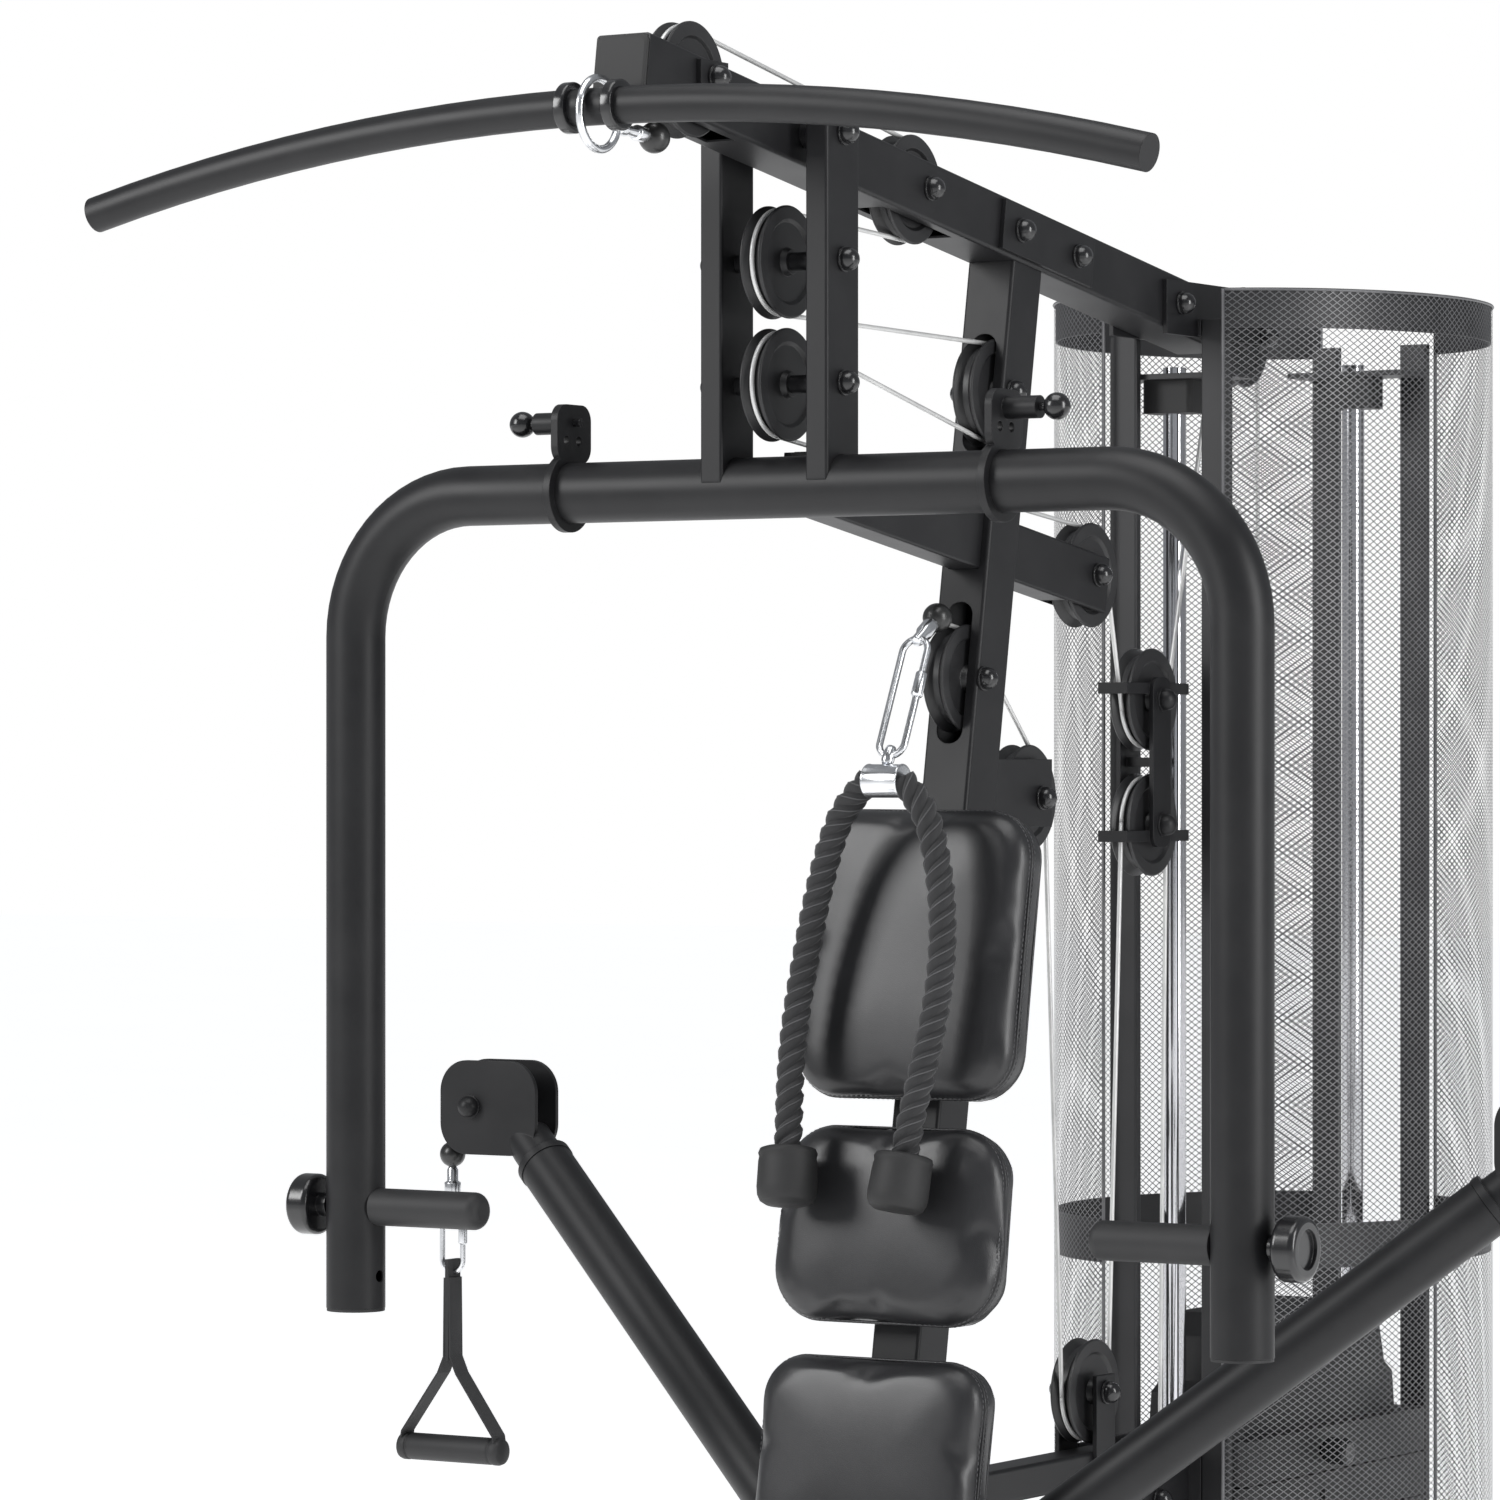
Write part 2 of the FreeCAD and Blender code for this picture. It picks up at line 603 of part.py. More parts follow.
def press_grips():
    """Round grips on the inner sides of the legs, with rounded ends and end caps in the tube."""
    inner = ARCH_HALF - ARCH_R + 3
    saddle = rod(V(ARCH_HALF, ARCH_Y, GRIP_Z - 60), V(ARCH_HALF, ARCH_Y, GRIP_Z + 60), ARCH_R + 0.1)
    grip = cross(inner - GRIP_LEN, inner, ARCH_Y, GRIP_Z, GRIP_R)
    edges = [e for e in grip.Edges if abs(e.CenterOfMass.x - inner + GRIP_LEN) < 0.1]
    grip = grip.makeFillet(11.0, edges).cut(saddle)
    plug = rod(V(ARCH_HALF, ARCH_Y, ARCH_BOTTOM - 3), V(ARCH_HALF, ARCH_Y, ARCH_BOTTOM), ARCH_R - 0.5)
    neck = rod(V(ARCH_HALF, ARCH_Y, ARCH_BOTTOM), V(ARCH_HALF, ARCH_Y, ARCH_BOTTOM + 18), ARCH_R - WALL - 0.1)
    return group(both(grip) + both(fuse([plug, neck])))


def grip_knob(side):
    """Clamp knob outside the leg, with its threaded stem through the leg."""
    x = ARCH_HALF + ARCH_R + 12
    stem = cross(ARCH_HALF - ARCH_R + 1, x + 4, ARCH_Y, GRIP_Z, 6.12)
    collar = cross(ARCH_HALF + ARCH_R + 1, x + 2, ARCH_Y, GRIP_Z, 12.0)
    head = cross(x, x + 26, ARCH_Y, GRIP_Z, 31.0)
    head = head.makeFillet(6.0, head.Edges)
    dish = cross(x + 22, x + 30, ARCH_Y, GRIP_Z, 19.0)
    knob = fuse([stem, collar, head]).cut(dish)
    return knob if side > 0 else mirror(knob)


def press_bolts():
    """The pivot axle with its spacers and the axles of the two press pulleys."""
    half = HANGER_X + HANGER_T / 2
    axle = bolt(PIVOT[0], PIVOT[1], half + 0.2, 8.0)
    axles = [bolt(y, z, half + 0.2) for y, z in
             (PULLEYS["pulley_press_upper"], PULLEYS["pulley_press_lower"])]
    sleeves = []
    for y, z in (PULLEYS["pulley_press_upper"], PULLEYS["pulley_press_lower"]):
        sleeve = cross(PULLEY_W / 2 + 3.3, HANGER_X - HANGER_T / 2 - 0.1, y, z, 9.0)
        sleeves.append(sleeve.cut(cross(0, 80, y, z, AXLE_R + 0.1)))
    bush = cross(TUBE / 2 + 0.4, HANGER_X - HANGER_T / 2 - 0.1, PIVOT[0], PIVOT[1], 14.0)
    sleeves.append(bush.cut(cross(0, 80, PIVOT[0], PIVOT[1], 8.1)))
    return group([axle] + axles + [half_piece for sleeve in sleeves for half_piece in both(sleeve)])


def storage_hooks():
    """Two flat hooks clamped round the arch, with the barrels of their sprung pins."""
    ring = cross(HOOK_X - 4, HOOK_X + 4, ARCH_Y, ARCH_TOP, ARCH_R + 9)
    ring = ring.cut(cross(HOOK_X - 5, HOOK_X + 5, ARCH_Y, ARCH_TOP, ARCH_R + 0.1))
    head = box(HOOK_X - 4, HOOK_X + 4, ARCH_Y - 24, ARCH_Y + 36, ARCH_TOP + 30, ARCH_TOP + 88)
    head = soften(head, 16.0, V(1, 0, 0))
    head = head.cut(cross(HOOK_X - 5, HOOK_X + 5, ARCH_Y, ARCH_TOP, ARCH_R + 0.1))
    for y, z in ((ARCH_Y - 8, ARCH_TOP + 52), (ARCH_Y + 14, ARCH_TOP + 52)):
        head = head.cut(cross(HOOK_X - 5, HOOK_X + 5, y, z, 5.0))
    barrel = cross(HOOK_X + 3, HOOK_X + 40, ARCH_Y + 6, ARCH_TOP + 70, 11.0)
    hook = fuse([ring, head, barrel])
    hook = hook.cut(cross(HOOK_X - 6, HOOK_X + 42, ARCH_Y + 6, ARCH_TOP + 70, 4.05))
    return group(both(hook))


def hook_pin(side):
    """Sprung pin in a hook's barrel, with a ball to pull."""
    y, z = ARCH_Y + 6, ARCH_TOP + 70
    shaft = cross(HOOK_X - 12, HOOK_X + 56, y, z, 4.0)
    ball = Part.makeSphere(13.0, V(HOOK_X + 58, y, z))
    pin = fuse([shaft, ball])
    return pin if side > 0 else mirror(pin)


# ---- floating pulley block ----------------------------------------------
def float_block():
    """Two side plates with their spacer, axle bolts and cable guards."""
    upper, lower = PULLEYS["pulley_float_upper"], PULLEYS["pulley_float_lower"]
    plate = box(17.5, 22.5, upper[0] - 20, upper[0] + 20, lower[1] - 24, upper[1] + 24)
    plate = soften(plate, 14.0, V(1, 0, 0))
    plate = drill(plate, [upper, lower], AXLE_R + 0.1)
    web = box(-17.4, 17.4, upper[0] - 6, upper[0] + 6, (upper[1] + lower[1]) / 2 - 5,
              (upper[1] + lower[1]) / 2 + 5)
    bolts = [bolt(y, z, 22.6) for y, z in (upper, lower)]
    guards = []
    for y, z, way in ((upper[0], upper[1], 1), (lower[0], lower[1], -1)):
        z0, z1 = sorted((z + way * 6, z + way * 18))
        cheeks = both(box(15.4, 17.4, y - 70, y + 70, z0, z1))
        ends = [box(-17.4, 17.4, y - 70, y - 62, z0, z1), box(-17.4, 17.4, y + 62, y + 70, z0, z1)]
        guards.append(fuse(cheeks + ends))
    return group([plate, mirror(plate), web] + bolts + guards)


# ---- cable arms ---------------------------------------------------------
def cable_arm(side):
    """Round tube from the pivot eye out to the head, with a collar at its end."""
    axis = ARM_END - HUB
    axis.normalize()
    eye = rod(V(HUB.x, -292, HUB.z), V(HUB.x, -232, HUB.z), 36.0)
    tube = rod(HUB + axis * 20, ARM_END, 30.0)
    bore = rod(HUB + axis * 50, ARM_END + axis * 5, 25.05)
    body = fuse([eye, tube]).cut(bore)
    body = body.cut(rod(V(HUB.x, -330, HUB.z), V(HUB.x, -200, HUB.z), 20.05))
    body = body.cut(rod(V(HUB.x, -232, HUB.z), V(HUB.x, -190, HUB.z), 27.0))
    return body if side > 0 else mirror(body)


def arm_head(side):
    """Swivelling head: a stub in the arm, two side plates, an axle bolt and the handle's cable."""
    axis = ARM_END - HUB
    axis.normalize()
    stub = rod(ARM_END - axis * 60, ARM_END + axis * 46, 25.0)
    ring = rod(ARM_END + axis * 0.4, ARM_END + axis * 9, 31.0)
    x, y, z = HEAD_AXLE.x, HEAD_AXLE.y, HEAD_AXLE.z
    shapes = []
    for way in (-1, 1):
        y0, y1 = sorted((y + way * 17.5, y + way * 22.5))
        plate = box(x - 84, x + 40, y0, y1, z - 52, z + 50)
        plate = soften(plate, 34.0, V(0, 1, 0))
        hole = rod(V(x, y0 - 1, z), V(x, y1 + 1, z), AXLE_R + 0.1)
        shapes.append(plate.cut(hole))
    gap = box(x - 62, x + 60, y - 17.5, y + 17.5, z - 80, z + 80)
    neck = fuse([stub, ring]).cut(gap)
    lead = cable([(HEAD_WRAP_R, 990.3 - z, 0), (0, 0, HEAD_WRAP_R), (-66.0, -39.7, 0)])
    lead.rotate(V(0, 0, 0), V(0, 0, 1), -90)
    lead.translate(V(x, y, z))
    body = fuse([neck] + shapes + [lead])
    axle = bolt(0, 0, 22.6)
    axle.rotate(V(0, 0, 0), V(0, 0, 1), 90)
    axle.translate(V(x, y, z))
    whole = group([body, axle])
    return whole if side > 0 else mirror(whole)


def arm_wheel(side):
    """Small pulley in an arm's head, turning about Y."""
    wheel = pulley(0, 0, HEAD_PULLEY_R, HEAD_PULLEY_R - 7.4)
    wheel.rotate(V(0, 0, 0), V(0, 0, 1), 90)
    wheel.translate(HEAD_AXLE)
    return wheel if side > 0 else mirror(wheel)


def torus_link(centre, radius, wire, stretch, normal):
    """Oval steel link, long along Z."""
    ring = Part.makeTorus(radius, wire, V(0, 0, 0), normal)
    matrix = FreeCAD.Matrix()
    matrix.scale(V(1, 1, stretch))
    link = ring.transformGeometry(matrix)
    link.translate(centre)
    return link


def d_handle(side):
    """Stopper ball, snap links, strap and grip hanging from an arm's head."""
    x, y = HANDLE_X, HEAD_AXLE.y
    ball = Part.makeSphere(14.0, V(x, y, 976))
    clevis = fuse([rod(V(x, y, 938), V(x, y, 966), 5.0), box(x - 9, x + 9, y - 6, y + 6, 930, 944)])
    link = torus_link(V(x, y, 888), 14.0, 3.0, 2.6, V(0, 1, 0))
    strap = box(x - 2, x + 2, y - 12, y + 12, 742, 850)
    legs = []
    for way in (-1, 1):
        leg = Part.makePolygon([V(x, y - 12, 748), V(x + way * 60, y - 12, 668), V(x + way * 64, y - 12, 668),
                                V(x + way * 4, y - 12, 752), V(x, y - 12, 748)])
        legs.append(Part.Face(leg).extrude(V(0, 24, 0)))
    grip = cross(x - 68, x + 68, y, 655, 15.0)
    body = fuse([ball, clevis, link, strap] + legs + [grip])
    return body if side > 0 else mirror(body)


# ---- pads and seat ------------------------------------------------------
def pad(z0, z1, corner):
    """Back pad on the post's front, plain and closed."""
    front = -TUBE / 2 - 0.3
    body = box(-PAD_HALF, PAD_HALF, front - PAD_T, front, z0, z1)
    return leaned(soften(body, corner, V(0, 1, 0)))


def seat_pad():
    """Seat cushion, plain and closed."""
    front = post_y(SEAT_Z) - 60.0
    body = soften(box(-150, 150, front - 380, front, SEAT_Z - 60, SEAT_Z), 45.0, V(0, 0, 1))
    return body


def seat_frame():
    """Seat tube that slides in the seat socket, with its cushion plate."""
    y = -560.0
    stem = soften(box(-22.4, 22.4, y - 22.4, y + 22.4, 190, SEAT_Z - 66), 3.0, V(0, 0, 1))
    for z in (220, 260, 300):
        stem = stem.cut(cross(-40, 40, y, z, 4.1))
    plate = box(-90, 90, y - 130, y + 130, SEAT_Z - 66, SEAT_Z - 60.2)
    return fuse([stem, plate])


def seat_socket():
    """Upright socket on the floor rail that the seat tube slides in."""
    y = -560.0
    outer = soften(box(-30, 30, y - 30, y + 30, RAIL_TOP, 330), 4.0, V(0, 0, 1))
    inner = box(-22.8, 22.8, y - 22.8, y + 22.8, RAIL_TOP + 2, 340)
    barrel = cross(29, 44, y, 300, 10.0)
    socket = fuse([outer.cut(inner), barrel])
    return socket.cut(cross(-5, 60, y, 300, 4.08))


def seat_pin():
    """Sprung pin that sets the seat's height."""
    y = -560.0
    shaft = cross(23.2, 56, y, 300, 4.0)
    ball = Part.makeSphere(13.0, V(62, y, 300))
    return fuse([shaft, ball])


# ---- bars, rope and cables ----------------------------------------------
def lat_point(t, lift=0.0):
    """Middle line of the lat bar; t runs from -1 to 1."""
    return V(t * LAT_HALF, LAT_Y, LAT_Z - LAT_DROP * t * t + lift)


def lat_bar():
    """Gently bowed round bar."""
    edge = Part.Arc(lat_point(-1), lat_point(0), lat_point(1)).toShape()
    heading = edge.tangentAt(edge.FirstParameter)
    tubes = []
    for radius in (LAT_R, LAT_R - WALL):
        section = Part.Wire(Part.makeCircle(radius, lat_point(-1), heading))
        tubes.append(Part.Wire(edge).makePipeShell([section], True, True))
    bar = tubes[0].cut(tubes[1])
    plugs = []
    for t, way in ((-1, -1), (1, 1)):
        end = lat_point(t)
        param = edge.FirstParameter if t < 0 else edge.LastParameter
        along = edge.tangentAt(param) * way
        plugs.append(rod(end - along * 14, end + along * 5, LAT_R - WALL))
        plugs.append(rod(end + along * 0, end + along * 5, LAT_R))
    return fuse([bar] + plugs)


def lat_fittings():
    """Two collars, the ring between them, the clevis and the stopper ball."""
    parts = []
    for x in (-26.0, 26.0):
        collar = cross(x - 6, x + 6, LAT_Y, LAT_Z, 24.0).cut(cross(x - 7, x + 7, LAT_Y, LAT_Z, LAT_R + 0.4))
        parts.append(collar)
    ring = Part.makeTorus(33.0, 4.0, V(0, LAT_Y + 8, LAT_Z - 6), V(1, 0, 0))
    y0 = LAT_Y + 38
    shank = rod(V(0, y0, 1994), V(0, LAT_CABLE_Y, 1990), 6.0)
    ball = Part.makeSphere(15.0, V(0, LAT_CABLE_Y, 1990))
    parts.append(fuse([ring, shank, ball]))
    return group(parts)


def cable_upper():
    """One cable from the lat bar's ball, round the press pulleys, to the weight stack."""
    front = PULLEYS["pulley_front"]
    return cable([
        (front[0] - WRAP_R, 2005.5, 0),
        on("pulley_front", -1),
        on("pulley_boom", -1),
        on("pulley_press_upper", 1),
        on("pulley_post_upper", -1),
        on("pulley_press_lower", 1),
        on("pulley_beam", -1),
        on("pulley_float_upper", 1),
        on("pulley_rear", -1),
        (HEAD_LIFT_Y, HEAD_TOP_Z + 0.3, 0),
    ])


def cable_lower():
    """One cable from the rope's ball, round the low pulleys, to the arm bracket."""
    return cable([
        (ROPE_BALL.y + 14.5, ROPE_BALL.z - 5.2, 0),
        on("pulley_post_middle", -1),
        on("pulley_bracket", -1),
        on("pulley_base", 1),
        on("pulley_float_lower", -1),
        on("pulley_low", -1),
        (-203.5, 566.0, 0),
    ])


# One strand of the triceps rope, from the fitting down to its end cap, right side then left side.
ROPE_RIGHT = [
    V(20, -298, 1384), V(44, -298, 1360), V(58, -299, 1318), V(67, -301, 1266), V(70, -305, 1212),
    V(66, -313, 1154), V(58, -325, 1096), V(50, -338, 1040), V(47, -349, 990),
]
ROPE_LEFT = [
    V(-20, -298, 1384), V(-46, -298, 1362), V(-64, -299, 1322), V(-78, -301, 1270), V(-88, -305, 1214),
    V(-95, -313, 1156), V(-95, -325, 1098), V(-89, -338, 1042), V(-84, -349, 992),
]
ROPE_R = 14.0


def strand(points):
    """Tube of straight runs joined by tangent arcs as large as the runs allow."""
    edges = []
    place = points[0]
    for before, corner, after in zip(points, points[1:], points[2:]):
        inward, outward = corner - before, after - corner
        reach = 0.45 * min(inward.Length, outward.Length)
        inward.normalize()
        outward.normalize()
        start, end = corner - inward * reach, corner + outward * reach
        half_turn = math.acos(max(-1.0, min(1.0, inward.dot(outward)))) / 2
        radius = reach / math.tan(half_turn)
        print("rope arc radius", round(radius))
        bisector = outward - inward
        bisector.normalize()
        middle = corner + bisector * (radius / math.cos(half_turn) - radius)
        edges.append(Part.makeLine(place, start))
        edges.append(Part.Arc(start, middle, end).toShape())
        place = end
    edges.append(Part.makeLine(place, points[-1]))
    wire = Part.Wire(edges)
    section = Part.Wire(Part.makeCircle(ROPE_R, points[0], points[1] - points[0]))
    solid = wire.makePipeShell([section], True, True)
    print("rope volume over section times length", round(solid.Volume / (math.pi * ROPE_R ** 2 * wire.Length), 4))
    return solid


def triceps_rope():
    """The rope's two strands."""
    return group([strand(ROPE_RIGHT), strand(ROPE_LEFT)])


def rope_fittings():
    """Stopper ball, clevis, snap link, the tube that the rope runs through and the two end caps."""
    ball = Part.makeSphere(15.0, ROPE_BALL)
    fork = rod(ROPE_BALL, V(0, -232, 1527), 7.0)
    link_top, link_low = V(0, -236, 1524), V(0, -290, 1412)
    sides = []
    for x in (-13.0, 13.0):
        sides.append(rod(link_top + V(x, 0, 0), link_low + V(x, 0, 0), 3.5))
    ends = [rod(p + V(-13, 0, 0), p + V(13, 0, 0), 3.5) for p in (link_top, link_low)]
    corners = [Part.makeSphere(3.5, p + V(x, 0, 0)) for p in (link_top, link_low) for x in (-13.0, 13.0)]
    eye = rod(link_low, ROPE_TOP + V(0, 0, 12), 5.0)
    tube = rod(ROPE_TOP + V(-20, 0, -2), ROPE_TOP + V(20, 0, -2), 17.0)
    chain = fuse([ball, fork] + sides + ends + corners + [eye, tube])
    caps = []
    for points in (ROPE_RIGHT, ROPE_LEFT):
        end, before = points[-1], points[-2]
        along = end - before
        along.normalize()
        cap = rod(end - along * 24, end + along * 32, 31.0)
        cap = cap.makeFillet(9.0, cap.Edges)
        caps.append(cap.cut(rod(end - along * 60, end, ROPE_R + 0.2)))
    return group([chain] + caps)


def frame_bolts():
    """Axle and joint bolts fixed in the frame, each with its two domed caps."""
    cheek = TUBE / 2 + 5.4
    places = [
        (PULLEYS["pulley_front"], cheek), (PULLEYS["pulley_boom"], TUBE / 2 + 0.1),
        ((-86.0, boom_z(-86.0)), cheek), ((34.0, boom_z(34.0)), cheek), ((262.0, boom_z(262.0)), cheek),
        (PULLEYS["pulley_rear"], cheek),
        (PULLEYS["pulley_post_upper"], POST_W / 2 + 0.1), (PULLEYS["pulley_post_middle"], POST_W / 2 + 0.1),
        (PULLEYS["pulley_beam"], 18.1), (PULLEYS["pulley_bracket"], 25.1),
        (PULLEYS["pulley_base"], 25.4), (PULLEYS["pulley_low"], 25.4),
    ]
    return group([bolt(place[0], place[1], half) for place, half in places])


def export(name, shape):
    """Write one node."""
    shape.exportStep("parts/%s.step" % name)
    print(name, "solids", len(shape.Solids), "valid", shape.isValid(), "volume", round(shape.Volume / 1000))


export("base_frame", base_frame())
export("base_feet", base_feet())
export("post", post())
export("boom", boom())
export("pulley_plates", pulley_plates())
export("mid_beam", mid_beam())
export("arm_bracket", arm_bracket())
export("tower_uprights", tower_uprights())
export("tower_plates", tower_plates())
export("guide_rods", guide_rods())
export("rubber_buffers", rubber_buffers())
export("weight_plates", weight_plates())
export("weight_head", weight_head())
export("selector_pin", selector_pin())
export("frame_bolts", frame_bolts())
export("press_arch", press_arch())
export("press_hangers", press_hangers())
export("press_grips", press_grips())
export("press_bolts", press_bolts())
export("storage_hooks", storage_hooks())
export("float_block", float_block())
for name, (y, z) in PULLEYS.items():
    export(name, pulley(y, z))
for side, word in ((-1, "left"), (1, "right")):
    export("shroud_" + word, shroud(side))
    export("grip_knob_" + word, grip_knob(side))
    export("hook_pin_" + word, hook_pin(side))
    export("cable_arm_" + word, cable_arm(side))
    export("arm_head_" + word, arm_head(side))
    export("arm_pulley_" + word, arm_wheel(side))
    export("handle_" + word, d_handle(side))
export("back_pad_upper", pad(1062.0, 1374.0, 58.0))
export("back_pad_middle", pad(838.0, 1050.0, 62.0))
export("back_pad_lower", pad(598.0, 819.0, 52.0))
export("seat_pad", seat_pad())
export("seat_frame", seat_frame())
export("seat_pin", seat_pin())
export("lat_bar", lat_bar())
export("lat_fittings", lat_fittings())
export("cable_upper", cable_upper())
export("cable_lower", cable_lower())
export("triceps_rope", triceps_rope())
export("rope_fittings", rope_fittings())
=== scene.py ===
import json
import math
import bpy
import bmesh
import numpy as np
from mathutils import Matrix, Vector
from mathutils.bvhtree import BVHTree


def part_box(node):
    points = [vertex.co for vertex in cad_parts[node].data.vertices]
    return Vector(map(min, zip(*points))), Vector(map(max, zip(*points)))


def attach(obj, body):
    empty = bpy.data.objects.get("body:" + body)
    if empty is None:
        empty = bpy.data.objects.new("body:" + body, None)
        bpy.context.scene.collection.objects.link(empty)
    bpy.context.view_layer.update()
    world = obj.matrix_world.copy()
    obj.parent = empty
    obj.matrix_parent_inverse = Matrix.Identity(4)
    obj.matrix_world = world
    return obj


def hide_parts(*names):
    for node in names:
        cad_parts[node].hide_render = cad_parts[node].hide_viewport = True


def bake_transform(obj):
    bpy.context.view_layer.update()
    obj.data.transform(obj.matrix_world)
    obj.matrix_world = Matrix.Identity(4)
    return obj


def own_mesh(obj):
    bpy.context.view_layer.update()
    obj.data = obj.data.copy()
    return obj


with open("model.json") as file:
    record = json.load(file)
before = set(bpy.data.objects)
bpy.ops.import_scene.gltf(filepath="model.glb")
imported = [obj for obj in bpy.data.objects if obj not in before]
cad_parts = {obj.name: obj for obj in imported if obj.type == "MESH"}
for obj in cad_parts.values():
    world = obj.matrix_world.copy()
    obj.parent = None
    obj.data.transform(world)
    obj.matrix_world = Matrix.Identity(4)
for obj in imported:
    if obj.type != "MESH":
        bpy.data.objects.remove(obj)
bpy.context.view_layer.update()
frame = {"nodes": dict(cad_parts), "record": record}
NODES = frame["nodes"]
SCENE = bpy.context.scene

# ---- camera and light ----
cam_data = bpy.data.cameras.new("camera")
camera = bpy.data.objects.new("camera", cam_data)
SCENE.collection.objects.link(camera)
camera.location = (3.1659, -5.6204, 1.400)
camera.rotation_euler = (math.radians(90), 0, math.radians(32))  # level, from the front right
cam_data.lens = 148.8
cam_data.sensor_width = 36.0
cam_data.shift_y = 0.01
cam_data.clip_end = 200
SCENE.camera = camera
SCENE.view_settings.view_transform = "Standard"
SCENE.view_settings.look = "None"


def area_light(name, place, aim, size, power):
    """Soft box of the given size in metres and power in watts, turned towards aim."""
    data = bpy.data.lights.new(name, "AREA")
    data.shape = "RECTANGLE"
    data.size, data.size_y = size
    data.energy = power
    lamp = bpy.data.objects.new(name, data)
    lamp.location = place
    lamp.rotation_euler = (Vector(aim) - Vector(place)).to_track_quat("-Z", "Y").to_euler()
    SCENE.collection.objects.link(lamp)


area_light("key", (-2.6, -3.6, 3.2), (0, -0.2, 1.3), (1.6, 2.2), 110)
area_light("side", (3.8, -0.6, 2.2), (0, 0, 1.2), (1.0, 2.6), 80)
area_light("top", (0.2, -1.2, 4.4), (0, -0.2, 1.0), (2.4, 2.4), 60)

# the camera sees a white studio, while the object is lit by a dimmer one, so that black stays black
world = bpy.data.worlds.new("studio")
SCENE.world = world
world.use_nodes = True
sky = world.node_tree
dim = sky.nodes["Background"]
dim.inputs["Color"].default_value = (.93, .96, 1, 1)
dim.inputs["Strength"].default_value = 0.30
bright = sky.nodes.new("ShaderNodeBackground")
bright.inputs["Color"].default_value = (1, 1, 1, 1)
ray = sky.nodes.new("ShaderNodeLightPath")
choose = sky.nodes.new("ShaderNodeMixShader")
sky.links.new(ray.outputs["Is Camera Ray"], choose.inputs[0])
sky.links.new(dim.outputs[0], choose.inputs[1])
sky.links.new(bright.outputs[0], choose.inputs[2])
sky.links.new(choose.outputs[0], sky.nodes["World Output"].inputs["Surface"])


def link_mesh(name, verts, faces, smooth=True):
    """New object in the scene from plain lists of points and faces."""
    mesh = bpy.data.meshes.new(name)
    mesh.from_pydata([tuple(v) for v in verts], [], [tuple(f) for f in faces])
    mesh.validate()
    mesh.update()
    obj = bpy.data.objects.new(name, mesh)
    SCENE.collection.objects.link(obj)
    if smooth:
        mesh.shade_smooth()
    return obj


# ---- materials ----
def nodes_of(name):
    """New material, its node tree and its shader."""
    mat = bpy.data.materials.new(name)
    mat.use_nodes = True
    tree = mat.node_tree
    return mat, tree, tree.nodes["Principled BSDF"]


def add(tree, kind, **values):
    """New shader node, with each value set on the socket or the property of that name."""
    node = tree.nodes.new("ShaderNode" + kind)
    for key, value in values.items():
        if key in node.inputs:
            node.inputs[key].default_value = value
        else:
            setattr(node, key, value)
    return node


TINT_RAMP = (0.3, 0.72)        # where the clouds turn from dark to light
LEATHER_PEBBLE = 0.16          # height at which the leather's cells go flat
LEATHER_SWELL = 38.0           # scale of the leather's slow waves
WORN_DOT = (0.995, 0.90)       # how far an edge's normal turns before the paint looks worn
WORN_GAIN = 3                  # how much lighter worn paint is
MIX_A, MIX_B, MIX_COLOUR = 6, 7, 2  # colour sockets of a Mix node


